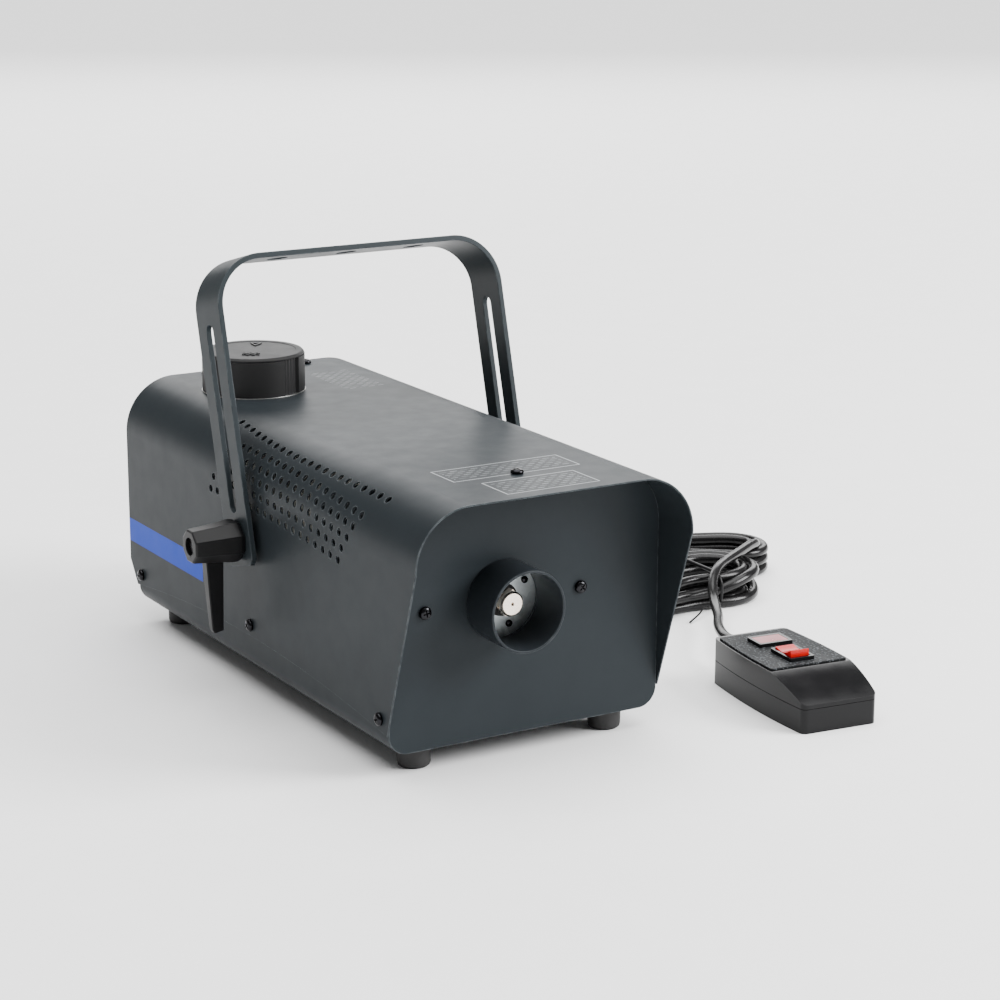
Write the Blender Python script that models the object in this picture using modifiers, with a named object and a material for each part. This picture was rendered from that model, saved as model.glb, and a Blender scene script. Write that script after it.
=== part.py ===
"""A small stage fog machine with its swivel yoke, fluid tank, wired remote control and mains lead.

Metres, +Z up, the nozzle faces -Y. The machine stands on the floor at z = 0, with its remote
control and its two hanks of cable on the floor at its right.
"""

import math

import bmesh
import bpy
from mathutils import Matrix, Vector

# The machine's middle, seen from the middle of the whole outfit's footprint.
MACHINE_AT = (-0.03955, 0.02176, 0.0)

GAP = 0.0003  # between pieces that touch

# Case
HALF_WIDTH = 0.0825
TOP = 0.1478
TOP_RADIUS = 0.0314
SHEET = 0.001
PANEL_Y = 0.15725  # outer face of the front and rear panels
VISOR_Y = -0.1875  # the hood's front edge
VISOR_KNEE = 0.11575  # below this height the front edge slants back
TAIL_Y = 0.1673
TAIL_KNEE = 0.0379
HOOD_LOW = 0.0239  # the hood's lower edge at its ends
ARCH = 0.0101  # and how far it rises between them
PAN_BOTTOM = 0.01265
PAN_RADIUS = 0.0108
PAN_TOP = 0.050
PAN_HALF = HALF_WIDTH - SHEET - GAP
PAN_LENGTH = 2 * (PANEL_Y - SHEET - GAP)
PAN_FLOOR = PAN_BOTTOM + SHEET + GAP  # where inner pieces stand

# Nozzle and heater
NOZZLE_X = -0.0145
NOZZLE_Z = 0.086
TUBE_RADIUS = 0.02175
TUBE_WALL = 0.0015
TUBE_LENGTH = 0.0257
HEATER_FRONT = -0.146
HEATER_BACK = -0.028

# Fluid tank and its cap
CAP_AT = (-0.0263, 0.1072)
CAP_RADIUS = 0.0300
CAP_BOTTOM = TOP + 0.0005
CAP_TOP = 0.1712
NECK_TOP = 0.164
TANK_LOW = (-0.072, 0.040, PAN_FLOOR)
TANK_HIGH = (0.020, 0.150, 0.128)
TANK_WALL = 0.002

# Pump
PUMP_AT = (0.052, 0.095, 0.042)

# Yoke and its clamps
PIVOT_Z = 0.0905
YOKE_LEAN = math.radians(15)
STRAP_WIDTH = 0.0308
STRAP = 0.003
YOKE_HALF = 0.0892
YOKE_TOP = 0.1537  # pivot to the strap's outer face
YOKE_RADIUS = 0.0285
YOKE_TAIL = 0.0148  # how far the legs reach below the pivot
LEVER_REACH = 0.051
HUB_IN = YOKE_HALF + GAP
HUB_OUT = 0.118

# Remote control, in its own frame: x across, y away from its nose
REMOTE_AT = (0.14174, -0.20848, 0.0)
REMOTE_TURN = math.radians(-5.85)
REMOTE_WIDTH = 0.046
REMOTE_LENGTH = 0.0972
REMOTE_SEAM = 0.0137
REMOTE_TOP = 0.0264
REMOTE_WALL = 0.002
NOSE_LENGTH = 0.0319
LABEL_TOP = REMOTE_TOP + GAP + 0.0006
ROCKER_AT = (0.0221, 0.0489)
ROCKER_TILT = math.radians(-8)
LAMP_AT = (0.0229, 0.0745)
RELIEF_LENGTH = 0.020

# Cables
REMOTE_CABLE = 0.006
MAINS_CABLE = 0.007

COLLECTION = bpy.data.collections.new("fog_machine")
CUTTERS = bpy.data.collections.new("cutters")


def clear_scene():
    for obj in list(bpy.data.objects):
        bpy.data.objects.remove(obj, do_unlink=True)
    bpy.context.scene.collection.children.link(COLLECTION)
    bpy.context.scene.collection.children.link(CUTTERS)


def material(name, colour, roughness, metallic=0.0):
    made = bpy.data.materials.new(name)
    made.use_nodes = True
    shader = made.node_tree.nodes["Principled BSDF"]
    shader.inputs["Base Color"].default_value = (*colour, 1.0)
    shader.inputs["Roughness"].default_value = roughness
    shader.inputs["Metallic"].default_value = metallic
    return made


def empty(name, parent=None, location=(0, 0, 0), rotation=(0, 0, 0)):
    obj = bpy.data.objects.new(name, None)
    COLLECTION.objects.link(obj)
    obj.parent = parent
    obj.location = location
    obj.rotation_euler = rotation
    return obj


# Shapes


def new_object(name, mesh, parent, finish=None, location=(0, 0, 0), rotation=(0, 0, 0)):
    """A node when it has a finish, and otherwise a cutter."""
    obj = bpy.data.objects.new(name, mesh)
    obj.parent = parent
    obj.location = location
    obj.rotation_euler = rotation
    if finish is None:
        CUTTERS.objects.link(obj)
        obj.hide_render = True
        obj.display_type = "WIRE"
    else:
        COLLECTION.objects.link(obj)
        mesh.materials.append(finish)
    return obj


def mesh_from(build):
    bm = bmesh.new()
    build(bm)
    mesh = bpy.data.meshes.new("shape")
    bm.to_mesh(mesh)
    bm.free()
    return mesh


def smooth(mesh, angle=35):
    mesh.shade_smooth()
    mesh.set_sharp_from_angle(angle=math.radians(angle))


def box(name, low, high, parent, finish=None):
    middle = (Vector(low) + Vector(high)) / 2
    size = Vector(high) - Vector(low)

    def build(bm):
        bmesh.ops.create_cube(bm, size=1, matrix=Matrix.Translation(middle) @ Matrix.Diagonal(size.to_4d()))

    return new_object(name, mesh_from(build), parent, finish)


def pegs(name, places, radius, length, axis, parent, segments=12):
    """Cylinders of one size, along one axis, as one cutter."""
    turn = {"X": Matrix.Rotation(math.pi / 2, 4, "Y"), "Y": Matrix.Rotation(math.pi / 2, 4, "X"), "Z": Matrix()}

    def build(bm):
        for place in places:
            bmesh.ops.create_cone(
                bm,
                cap_ends=True,
                segments=segments,
                radius1=radius,
                radius2=radius,
                depth=length,
                matrix=Matrix.Translation(place) @ turn[axis],
            )

    return new_object(name, mesh_from(build), parent)


def arc(centre, radius, start, end, steps):
    """Points of an arc, angles in degrees from +x."""
    angles = [math.radians(start + (end - start) * i / steps) for i in range(steps + 1)]
    return [(centre[0] + radius * math.cos(a), centre[1] + radius * math.sin(a)) for a in angles]


def rounded(low, high, radius, steps=3):
    """A rectangle's outline with round corners."""
    corners = [(high[0], high[1], 0), (low[0], high[1], 90), (low[0], low[1], 180), (high[0], low[1], 270)]
    outline = []
    for x, y, start in corners:
        centre = (x - radius if start in (0, 270) else x + radius, y - radius if start < 180 else y + radius)
        outline += arc(centre, radius, start, start + 90, steps)
    return outline


def circle(centre, radius, steps):
    return arc(centre, radius, 0, 360, steps)[:-1]


FACING = {
    "X": Matrix(((0, 0, 1), (1, 0, 0), (0, 1, 0))),  # outline in y, z
    "Y": Matrix(((1, 0, 0), (0, 0, -1), (0, 1, 0))),  # outline in x, z
    "Z": Matrix.Identity(3),  # outline in x, y
}


def slab(name, outlines, start, end, axis, parent, finish=None, location=(0, 0, 0), rotation=(0, 0, 0)):
    """A flat outline, with holes, that is as thick as start to end along an axis."""
    curve = bpy.data.curves.new(name, "CURVE")
    curve.dimensions = "2D"
    curve.fill_mode = "BOTH"
    curve.extrude = abs(end - start) / 2
    for outline in outlines:
        spline = curve.splines.new("POLY")
        spline.points.add(len(outline) - 1)
        for point, corner in zip(spline.points, outline):
            point.co = (corner[0], corner[1], 0, 1)
        spline.use_cyclic_u = True
    guide = bpy.data.objects.new(name + "_outline", curve)
    CUTTERS.objects.link(guide)
    bpy.context.view_layer.update()
    graph = bpy.context.evaluated_depsgraph_get()
    mesh = bpy.data.meshes.new_from_object(guide.evaluated_get(graph))
    bpy.data.objects.remove(guide, do_unlink=True)
    bm = bmesh.new()
    bm.from_mesh(mesh)
    bmesh.ops.remove_doubles(bm, verts=bm.verts, dist=0.00001)
    along = FACING[axis] @ Vector((0, 0, 1))
    sign = along.x + along.y + along.z
    bm.transform(Matrix.Translation(along * sign * (start + end) / 2) @ FACING[axis].to_4x4())
    bmesh.ops.recalc_face_normals(bm, faces=bm.faces)
    if bm.calc_volume(signed=True) < 0:
        bmesh.ops.reverse_faces(bm, faces=bm.faces)
    bm.to_mesh(mesh)
    bm.free()
    mesh.materials.clear()
    return new_object(name, mesh, parent, finish, location, rotation)


def sheet(name, path, half_length, thickness, parent, finish, middle=0.0):
    """Sheet metal folded along a path in x, z, which keeps its outer face on its left."""

    def build(bm):
        rows = [[bm.verts.new((x, y, z)) for x, z in path] for y in (middle - half_length, middle + half_length)]
        for i in range(len(path) - 1):
            bm.faces.new((rows[0][i], rows[0][i + 1], rows[1][i + 1], rows[1][i]))

    mesh = mesh_from(build)
    smooth(mesh)
    obj = new_object(name, mesh, parent, finish)
    solidify = obj.modifiers.new("thickness", "SOLIDIFY")
    solidify.thickness = thickness
    solidify.offset = -1
    solidify.use_even_offset = True
    return obj


def turned(name, profile, parent, finish=None, location=(0, 0, 0), rotation=(0, 0, 0), steps=20, hollow=False):
    """A profile of radius and height turned about z, its outer side listed from top to bottom."""

    def build(bm):
        points = [bm.verts.new((radius, 0, height)) for radius, height in profile]
        for first, second in zip(points, points[1:]):
            bm.edges.new((first, second))
        if hollow:
            bm.edges.new((points[-1], points[0]))

    obj = new_object(name, mesh_from(build), parent, finish, location, rotation)
    screw = obj.modifiers.new("turn", "SCREW")
    screw.axis = "Z"
    screw.steps = steps
    screw.render_steps = steps
    screw.use_merge_vertices = True
    screw.merge_threshold = 0.00001
    screw.use_smooth_shade = True
    return obj


def combine(obj, other, operation):
    boolean = obj.modifiers.new(operation.lower(), "BOOLEAN")
    boolean.operation = operation
    boolean.solver = "EXACT"
    boolean.object = other


def cut(obj, *cutters):
    for cutter in cutters:
        combine(obj, cutter, "DIFFERENCE")


def soften(obj, width, segments=2, angle=40):
    bevel = obj.modifiers.new("soften", "BEVEL")
    bevel.width = width
    bevel.segments = segments
    bevel.limit_method = "ANGLE"
    bevel.angle_limit = math.radians(angle)


def smooth_route(points, spacing):
    """Points about a spacing apart on a smooth curve through the route's own points.

    A second point close to each end squares the ends to the curve.
    """
    knots = [Vector(p) for p in points]
    ends = [2 * knots[0] - knots[1], *knots, 2 * knots[-1] - knots[-2]]
    fine = []
    for a, b, c, d in zip(ends, ends[1:], ends[2:], ends[3:]):
        for i in range(16):
            t = i / 16
            fine.append(0.5 * (2 * b + (c - a) * t + (2 * a - 5 * b + 4 * c - d) * t**2 + (3 * b - a - 3 * c + d) * t**3))
    fine.append(knots[-1])
    length = sum((q - p).length for p, q in zip(fine, fine[1:]))
    count = max(2, round(length / spacing))
    route = [fine[0]]
    walked = 0.0
    for p, q in zip(fine, fine[1:]):
        step = (q - p).length
        while len(route) < count and walked + step >= length * len(route) / count:
            route.append(p.lerp(q, (length * len(route) / count - walked) / step))
        walked += step
    return [route[0], fine[3], *route[1:], fine[-4], fine[-1]]


def tube(name, points, radius, parent, finish, sides=3):
    curve = bpy.data.curves.new(name, "CURVE")
    curve.dimensions = "3D"
    curve.bevel_depth = radius
    curve.bevel_resolution = sides
    curve.use_fill_caps = True
    route = smooth_route(points, 4 * radius)
    spline = curve.splines.new("POLY")
    spline.points.add(len(route) - 1)
    for point, place in zip(spline.points, route):
        point.co = (*place, 1)
    return new_object(name, curve, parent, finish)


# Case


def case_outline(half, top, top_radius, bottom, bottom_radius):
    return [
        *arc((half - top_radius, top - top_radius), top_radius, 0, 90, 7),
        *arc((top_radius - half, top - top_radius), top_radius, 90, 180, 7),
        *arc((bottom_radius - half, bottom + bottom_radius), bottom_radius, 180, 270, 4),
        *arc((half - bottom_radius, bottom + bottom_radius), bottom_radius, 270, 360, 4),
    ]


def arch_height(y):
    return HOOD_LOW + ARCH * (1 - (y / PANEL_Y) ** 2)


SIDE_SCREW_Y = (-0.150, 0.0, 0.150)
SIDE_SCREWS = [(y, arch_height(y) + 0.0065) for y in SIDE_SCREW_Y]
FRONT_SCREW_X = (-0.0604, 0.0324)
TOP_SCREWS = [(0.0015, -0.1444), (-0.033, 0.1577), (0.033, 0.1577)]


def make_case(machine, paint, inner_steel):
    path = [
        (-HALF_WIDTH, PAN_BOTTOM),
        *arc((TOP_RADIUS - HALF_WIDTH, TOP - TOP_RADIUS), TOP_RADIUS, 180, 90, 8),
        *arc((HALF_WIDTH - TOP_RADIUS, TOP - TOP_RADIUS), TOP_RADIUS, 90, 0, 8),
        (HALF_WIDTH, PAN_BOTTOM),
    ]
    middle = (VISOR_Y + TAIL_Y) / 2
    hood = sheet("hood", path, (TAIL_Y - VISOR_Y) / 2 + 0.01, SHEET, machine, paint, middle)
    arch = [(y * PANEL_Y / 6, arch_height(y * PANEL_Y / 6)) for y in range(-6, 7)]
    side = [*arch, (TAIL_Y, TAIL_KNEE), (TAIL_Y, TOP + 0.02), (VISOR_Y, TOP + 0.02), (VISOR_Y, VISOR_KNEE)]
    combine(hood, slab("hood_side", [side], -0.1, 0.1, "X", machine), "INTERSECT")
    sides = (-HALF_WIDTH, HALF_WIDTH)
    cut(
        hood,
        pegs("neck_hole", [(*CAP_AT, TOP)], 0.0225, 0.02, "Z", machine, 24),
        pegs("stud_holes", [(x, 0, PIVOT_Z) for x in sides], 0.0043, 0.008, "X", machine),
        pegs("side_holes", [(x, y, z) for x in sides for y, z in SIDE_SCREWS], 0.002, 0.008, "X", machine, 8),
        pegs("top_holes", [(x, y, TOP) for x, y in TOP_SCREWS], 0.002, 0.005, "Z", machine, 8),
    )

    pan_path = [
        (PAN_HALF, PAN_TOP),
        *arc((PAN_HALF - PAN_RADIUS, PAN_BOTTOM + PAN_RADIUS), PAN_RADIUS, 0, -90, 5),
        *arc((PAN_RADIUS - PAN_HALF, PAN_BOTTOM + PAN_RADIUS), PAN_RADIUS, 270, 180, 5),
        (-PAN_HALF, PAN_TOP),
    ]
    pan = sheet("base_pan", pan_path, PAN_LENGTH / 2, SHEET, machine, paint)
    cut(pan, pegs("pan_holes", [(x, y, z) for x in sides for y, z in SIDE_SCREWS], 0.002, 0.012, "X", machine, 8))

    outline = case_outline(PAN_HALF, TOP - SHEET - GAP, TOP_RADIUS - SHEET - GAP, PAN_BOTTOM, PAN_RADIUS)
    front_holes = [circle((NOZZLE_X, NOZZLE_Z), TUBE_RADIUS - TUBE_WALL, 24)]
    front_holes += [circle((x, NOZZLE_Z), 0.002, 8) for x in FRONT_SCREW_X]
    slab("front_panel", [outline, *front_holes], -PANEL_Y, SHEET - PANEL_Y, "Y", machine, paint)
    rear_holes = [circle((x, z), radius, 12) for x, z, radius in REAR_FITTINGS.values()]
    slab("rear_panel", [outline, *rear_holes], PANEL_Y - SHEET, PANEL_Y, "Y", machine, paint)

    shield_path = [
        (NOZZLE_X - 0.036, PAN_FLOOR),
        *arc((NOZZLE_X - 0.032, 0.114), 0.004, 180, 90, 2),
        *arc((NOZZLE_X + 0.032, 0.114), 0.004, 90, 0, 2),
        (NOZZLE_X + 0.036, PAN_FLOOR),
    ]
    sheet("heat_shield", shield_path, 0.064, 0.0008, machine, inner_steel, -0.086)


# Rear fittings: x, z and the radius of the hole in the panel
REAR_FITTINGS = {"mains": (0.055, 0.038, 0.005), "fuse": (0.022, 0.038, 0.005), "remote": (-0.020, 0.042, 0.006)}


def screw_profile(shank):
    head = [(0, 0.0026), (0.0016, 0.0024), (0.0029, 0.0018), (0.0035, 0.0009), (0.0035, GAP)]
    return [*head, (0.0016, GAP), (0.0016, -shank), (0, -shank)]


def make_screws(machine, black_steel):
    def screw(name, place, rotation, shank):
        turned(name, screw_profile(shank), machine, black_steel, place, rotation, 10)

    facing_front = (math.pi / 2, 0, 0)
    for name, x in zip(("left", "right"), FRONT_SCREW_X):
        screw(f"front_screw_{name}", (x, -PANEL_Y, NOZZLE_Z), facing_front, 0.005)
    for name, (x, y) in zip(("front", "rear_left", "rear_right"), TOP_SCREWS):
        screw(f"top_screw_{name}", (x, y, TOP), (0, 0, 0), 0.0009)
    for name, sign in (("left", -1), ("right", 1)):
        for place, (y, z) in zip(("front", "middle", "rear"), SIDE_SCREWS):
            turn = (0, sign * math.pi / 2, 0)
            screw(f"side_screw_{name}_{place}", (sign * HALF_WIDTH, y, z), turn, 0.005)


def make_feet(machine, rubber):
    profile = [(0, PAN_BOTTOM - GAP), (0.00875, PAN_BOTTOM - GAP), (0.0084, 0.0015), (0.0074, 0), (0, 0)]
    for side, x in (("left", -0.0585), ("right", 0.0585)):
        for end, y in (("front", -0.1418), ("rear", 0.1454)):
            turned(f"foot_{end}_{side}", profile, machine, rubber, (x, y, 0), steps=16)


# Fog making


def make_heater(machine, paint, inner_steel, aluminium, nickel, plastic):
    forward = (math.pi / 2, 0, 0)
    ring = [(TUBE_RADIUS, TUBE_LENGTH), (TUBE_RADIUS, 0)]
    ring += [(TUBE_RADIUS - TUBE_WALL, 0), (TUBE_RADIUS - TUBE_WALL, TUBE_LENGTH)]
    at_panel = (NOZZLE_X, -PANEL_Y - GAP, NOZZLE_Z)
    turned("nozzle_tube", ring, machine, paint, at_panel, forward, 32, hollow=True)

    axis = (NOZZLE_X, NOZZLE_Z)
    plate_front = SHEET + GAP - PANEL_Y
    plate = rounded((NOZZLE_X - 0.031, NOZZLE_Z - 0.033), (NOZZLE_X + 0.031, NOZZLE_Z + 0.033), 0.002, 2)
    slab("heater_plate", [plate, circle(axis, 0.0052, 16)], plate_front, plate_front + 0.0015, "Y", machine, inner_steel)

    face = 0.1672  # how far forward of the machine's middle the nozzle's face is
    head_back = -plate_front + GAP
    stem_end = 0.138
    profile = [(0, face - 0.003), (0.0007, face - 0.003), (0.0007, face), (0.0060, face), (0.00665, face - 0.0006)]
    profile += [(0.00665, head_back), (0.0045, head_back), (0.0045, stem_end), (0, stem_end)]
    turned("nozzle", profile, machine, nickel, (NOZZLE_X, 0, NOZZLE_Z), forward, 20)

    low = (NOZZLE_X - 0.028, HEATER_FRONT, NOZZLE_Z - 0.023)
    high = (NOZZLE_X + 0.028, HEATER_BACK, NOZZLE_Z + 0.023)
    block = box("heater_block", low, high, machine, aluminium)
    bore_at = (NOZZLE_X, HEATER_FRONT, NOZZLE_Z)
    cut(block, pegs("heater_bore", [bore_at], 0.0048, 0.018, "Y", machine, 16))

    disc = [(0, 0.0062), (0.0065, 0.0062), (0.008, 0.0045), (0.008, 0), (0, 0)]
    turned("thermostat", disc, machine, plastic, (NOZZLE_X, -0.09, high[2] + GAP), steps=16)


def make_tank(machine, tank_plastic, black_plastic, rubber):
    tank = box("fluid_tank", TANK_LOW, TANK_HIGH, machine, tank_plastic)
    neck_middle = (*CAP_AT, NECK_TOP - 0.021)
    combine(tank, pegs("tank_neck", [neck_middle], 0.021, 0.042, "Z", machine, 24), "UNION")
    wall = Vector((TANK_WALL, TANK_WALL, TANK_WALL))
    cut(
        tank,
        box("tank_inside", Vector(TANK_LOW) + wall, Vector(TANK_HIGH) - wall, machine),
        pegs("neck_inside", [neck_middle], 0.0185, 0.05, "Z", machine, 24),
        pegs("hose_hole", [(0.006, 0.060, TANK_HIGH[2])], 0.0045, 0.01, "Z", machine),
    )

    washer = [(0.0209, NECK_TOP + 0.0022), (0.0209, NECK_TOP + GAP)]
    washer += [(0.0186, NECK_TOP + GAP), (0.0186, NECK_TOP + 0.0022)]
    turned("cap_seal", washer, machine, rubber, (*CAP_AT, 0), steps=24, hollow=True)

    def grip(angle):
        """Four broad lobes, each about 67 degrees wide, with shallow hollows between them."""
        off = abs((math.degrees(angle) + 67) % 90 - 45)
        return CAP_RADIUS - 0.0018 * min(1, max(0, (off - 33) / 3))

    angles = [2 * math.pi * i / 60 for i in range(60)]
    outline = [(grip(a) * math.cos(a), grip(a) * math.sin(a)) for a in angles]
    height = CAP_TOP - CAP_BOTTOM
    cap = slab("tank_cap", [outline], 0, height, "Z", machine, black_plastic, (*CAP_AT, CAP_BOTTOM))
    hollow_top = NECK_TOP + 0.0026
    hollow_middle = (*CAP_AT, (hollow_top + CAP_BOTTOM - 0.01) / 2)
    hollow_height = hollow_top - CAP_BOTTOM + 0.01
    cut(cap, pegs("cap_inside", [hollow_middle], 0.0214, hollow_height, "Z", machine, 24))


def make_pump(machine, pump_plastic, steel, hose_rubber, board_green):
    x, y, z = PUMP_AT
    pump = box("pump_body", (x - 0.02, y - 0.023, PAN_FLOOR), (x + 0.02, y + 0.023, z + 0.02), machine, pump_plastic)
    combine(pump, pegs("pump_spigots", [PUMP_AT], 0.006, 0.066, "Y", machine, 16), "UNION")
    cut(pump, pegs("pump_bore", [(x, y + 0.020, z)], 0.0043, 0.030, "Y", machine, 16))
    rod = [(0, 0.010), (0.004, 0.010), (0.004, -0.010), (0, -0.010)]
    turned("pump_plunger", rod, machine, steel, (x, y + 0.019, z), (math.pi / 2, 0, 0), 16)

    suction = [(0.052, 0.1283, 0.042), (0.052, 0.138, 0.0435), (0.051, 0.146, 0.058), (0.049, 0.143, 0.085)]
    suction += [(0.044, 0.130, 0.112), (0.032, 0.108, 0.133), (0.016, 0.082, 0.1385), (0.0085, 0.066, 0.137)]
    suction += [(0.006, 0.0602, 0.130), (0.006, 0.060, 0.122), (0.006, 0.060, 0.105), (0.006, 0.060, 0.022)]
    tube("suction_hose", suction, 0.0025, machine, hose_rubber, 2)
    pressure = [(0.052, 0.0617, 0.042), (0.052, 0.040, 0.042), (0.044, 0.015, 0.050), (0.020, -0.003, 0.065)]
    pressure += [(-0.003, -0.009, 0.077), (-0.0135, -0.016, 0.0815), (-0.0145, -0.0277, 0.082)]
    tube("pressure_hose", pressure, 0.0025, machine, hose_rubber, 2)

    board = box("circuit_board", (0.025, -0.140, 0.022), (0.078, -0.030, 0.0236), machine, board_green)
    posts = [(px, py, (PAN_FLOOR + 0.0225) / 2) for px in (0.030, 0.068) for py in (-0.134, -0.036)]
    combine(board, pegs("board_posts", posts, 0.003, 0.0225 - PAN_FLOOR, "Z", machine, 8), "UNION")


# Yoke


def make_yoke(machine, paint, black_plastic, steel):
    pivot = empty("yoke_pivot", machine, (0, 0, PIVOT_Z), (-YOKE_LEAN, 0, 0))
    path = [
        (-YOKE_HALF, -0.02),
        *arc((YOKE_RADIUS - YOKE_HALF, YOKE_TOP - YOKE_RADIUS), YOKE_RADIUS, 180, 90, 8),
        *arc((YOKE_HALF - YOKE_RADIUS, YOKE_TOP - YOKE_RADIUS), YOKE_RADIUS, 90, 0, 8),
        (YOKE_HALF, -0.02),
    ]
    yoke = sheet("yoke", path, STRAP_WIDTH / 2, STRAP, pivot, paint)
    half = STRAP_WIDTH / 2
    clip = 0.0035
    wide = half + 0.01
    shoulder = clip + 0.01 - YOKE_TAIL
    side = [(-wide, 0.2), (-wide, shoulder), (clip - half, -YOKE_TAIL)]
    side += [(half - clip, -YOKE_TAIL), (wide, shoulder), (wide, 0.2)]
    slot = [*arc((0, 0.11375), 0.00425, 0, 180, 8), *arc((0, 0.01905), 0.00425, 180, 360, 8)]
    combine(yoke, slab("leg_ends", [side], -0.1, 0.1, "X", pivot), "INTERSECT")
    cut(
        yoke,
        slab("leg_slots", [slot], -0.1, 0.1, "X", pivot),
        pegs("pivot_holes", [(0, 0, 0)], 0.00425, 0.2, "X", pivot, 16),
        pegs("strap_holes", [(x, 0, YOKE_TOP) for x in (-0.043, 0, 0.043)], 0.006, 0.02, "Z", pivot, 16),
    )

    hub = [(0, 0.1115), (0.005, 0.1115), (0.005, HUB_OUT), (0.0088, HUB_OUT), (0.0095, HUB_OUT - 0.001)]
    hub += [(0.01165, HUB_IN), (0.0042, HUB_IN), (0.0042, 0.0975), (0, 0.0975)]
    stud = [(0, 0.0970), (0.0038, 0.0970), (0.0038, HALF_WIDTH - SHEET - GAP), (0.007, HALF_WIDTH - SHEET - GAP)]
    stud += [(0.007, 0.0775), (0, 0.0775)]
    inner = HALF_WIDTH + GAP
    outer = YOKE_HALF - STRAP - GAP
    washer = [(0.009, outer), (0.009, inner), (0.0042, inner), (0.0042, outer)]
    for name, sign in (("left", -1), ("right", 1)):
        at = (0, 0, PIVOT_Z)
        outwards = (0, sign * math.pi / 2, 0)
        lever = turned(f"clamp_lever_{name}", hub, machine, black_plastic, at, outwards, 24)
        combine(lever, lever_arm(f"lever_arm_{name}", sign, machine), "UNION")
        turned(f"clamp_stud_{name}", stud, machine, steel, at, outwards, 16)
        turned(f"pivot_washer_{name}", washer, machine, steel, at, outwards, 16, hollow=True)


def lever_arm(name, sign, parent):
    """A bar that narrows from the hub to its tip, pointing straight down."""
    root = 0.0036
    tip = PIVOT_Z - LEVER_REACH
    middle = sign * 0.10475
    arm = box(name, (middle - 0.00525, -root, tip), (middle + 0.00525, root, PIVOT_Z - 0.005), parent)
    for vertex in arm.data.vertices:
        if vertex.co.z < PIVOT_Z - LEVER_REACH / 2:
            vertex.co.y *= 0.6
            vertex.co.x = sign * min(abs(vertex.co.x), 0.1063)
    soften(arm, 0.0010, 1)
    return arm


# Remote control


def make_remote(machine, dark_plastic, label_grey, red_glow, red_lamp, rubber):
    remote = empty("remote", machine, REMOTE_AT, (0, 0, REMOTE_TURN))
    wall = REMOTE_WALL
    seam = REMOTE_SEAM - GAP / 2
    footprint = rounded((0, 0), (REMOTE_WIDTH, REMOTE_LENGTH), 0.003, 3)
    hollow = rounded((wall, wall), (REMOTE_WIDTH - wall, REMOTE_LENGTH - wall), 0.001, 2)
    base = slab("remote_base", [footprint], 0, seam, "Z", remote, dark_plastic)
    cut(base, slab("base_inside", [hollow], wall, seam + 0.01, "Z", remote))

    cover_low = REMOTE_SEAM + GAP / 2
    nose_top = 0.0161
    bulge = 0.0011
    slope = []
    for i in range(9):
        t = i / 8
        slope.append((t * NOSE_LENGTH, nose_top + t * (REMOTE_TOP - nose_top) + bulge * 4 * t * (1 - t)))
    outline = [*slope, (REMOTE_LENGTH + 0.01, REMOTE_TOP), (REMOTE_LENGTH + 0.01, 0.005), (-0.01, 0.005), (-0.01, 0.0161)]
    inside = [(y, z - wall) for y, z in slope]
    inside += [(REMOTE_LENGTH + 0.01, REMOTE_TOP - wall), (REMOTE_LENGTH + 0.01, 0.005), (0, 0.005)]
    cover = slab("remote_cover", [footprint], cover_low, 0.04, "Z", remote, dark_plastic)
    combine(cover, slab("cover_shape", [outline], -0.01, REMOTE_WIDTH + 0.01, "X", remote), "INTERSECT")
    core = slab("cover_inside", [hollow], cover_low - 0.01, 0.03, "Z", remote)
    combine(core, slab("cover_inside_shape", [inside], 0, REMOTE_WIDTH, "X", remote), "INTERSECT")
    opening = around(ROCKER_AT, 0.0126, 0.0181, 0.0005)
    cut(cover, core, slab("cover_rocker_hole", [opening], 0.01, 0.04, "Z", remote))

    plate = rounded((0.0006, NOSE_LENGTH + 0.0006), (REMOTE_WIDTH - 0.0006, REMOTE_LENGTH - 0.0017), 0.001, 2)
    slab("remote_label", [plate, opening], REMOTE_TOP + GAP, LABEL_TOP, "Z", remote, label_grey)

    on_label = LABEL_TOP + GAP
    bezel_top = LABEL_TOP + 0.0021
    frame = around(ROCKER_AT, 0.0158, 0.0213, 0.001)
    slab("rocker_bezel", [frame, opening], on_label, bezel_top, "Z", remote, dark_plastic)
    lamp_frame = around(LAMP_AT, 0.0212, 0.0150, 0.001)
    lamp_opening = around(LAMP_AT, 0.0176, 0.0114, 0.0005)
    slab("lamp_bezel", [lamp_frame, lamp_opening], on_label, bezel_top, "Z", remote, dark_plastic)
    lens = around(LAMP_AT, 0.0170, 0.0108, 0.0005)
    slab("lamp_lens", [lens], on_label, bezel_top - 0.0003, "Z", remote, red_lamp)

    dip = 0.0034
    rocker_side = [(-0.0065, -0.0015), (0.0065, -0.0015), (0.0082, 0.0025), (0.0082, 0.0055), (0.0035, 0.0037)]
    rocker_side += [(0, dip), (-0.0035, 0.0037), (-0.0082, 0.0055), (-0.0082, 0.0025)]
    at = (*ROCKER_AT, REMOTE_TOP - 0.0002)
    slab("rocker", [rocker_side], -0.0059, 0.0059, "X", remote, red_glow, at, (ROCKER_TILT, 0, 0))

    relief = [(0, RELIEF_LENGTH), (0.0034, RELIEF_LENGTH), (0.0043, 0.003), (0.0056, 0.003), (0.0056, 0), (0, 0)]
    at = (REMOTE_WIDTH / 2, REMOTE_LENGTH + GAP, 0.016)
    turned("remote_relief", relief, remote, rubber, at, (-math.pi / 2, 0, 0), 16)


def around(centre, width, length, radius):
    low = (centre[0] - width / 2, centre[1] - length / 2)
    high = (centre[0] + width / 2, centre[1] + length / 2)
    return rounded(low, high, radius, 2)


# Cables

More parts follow.
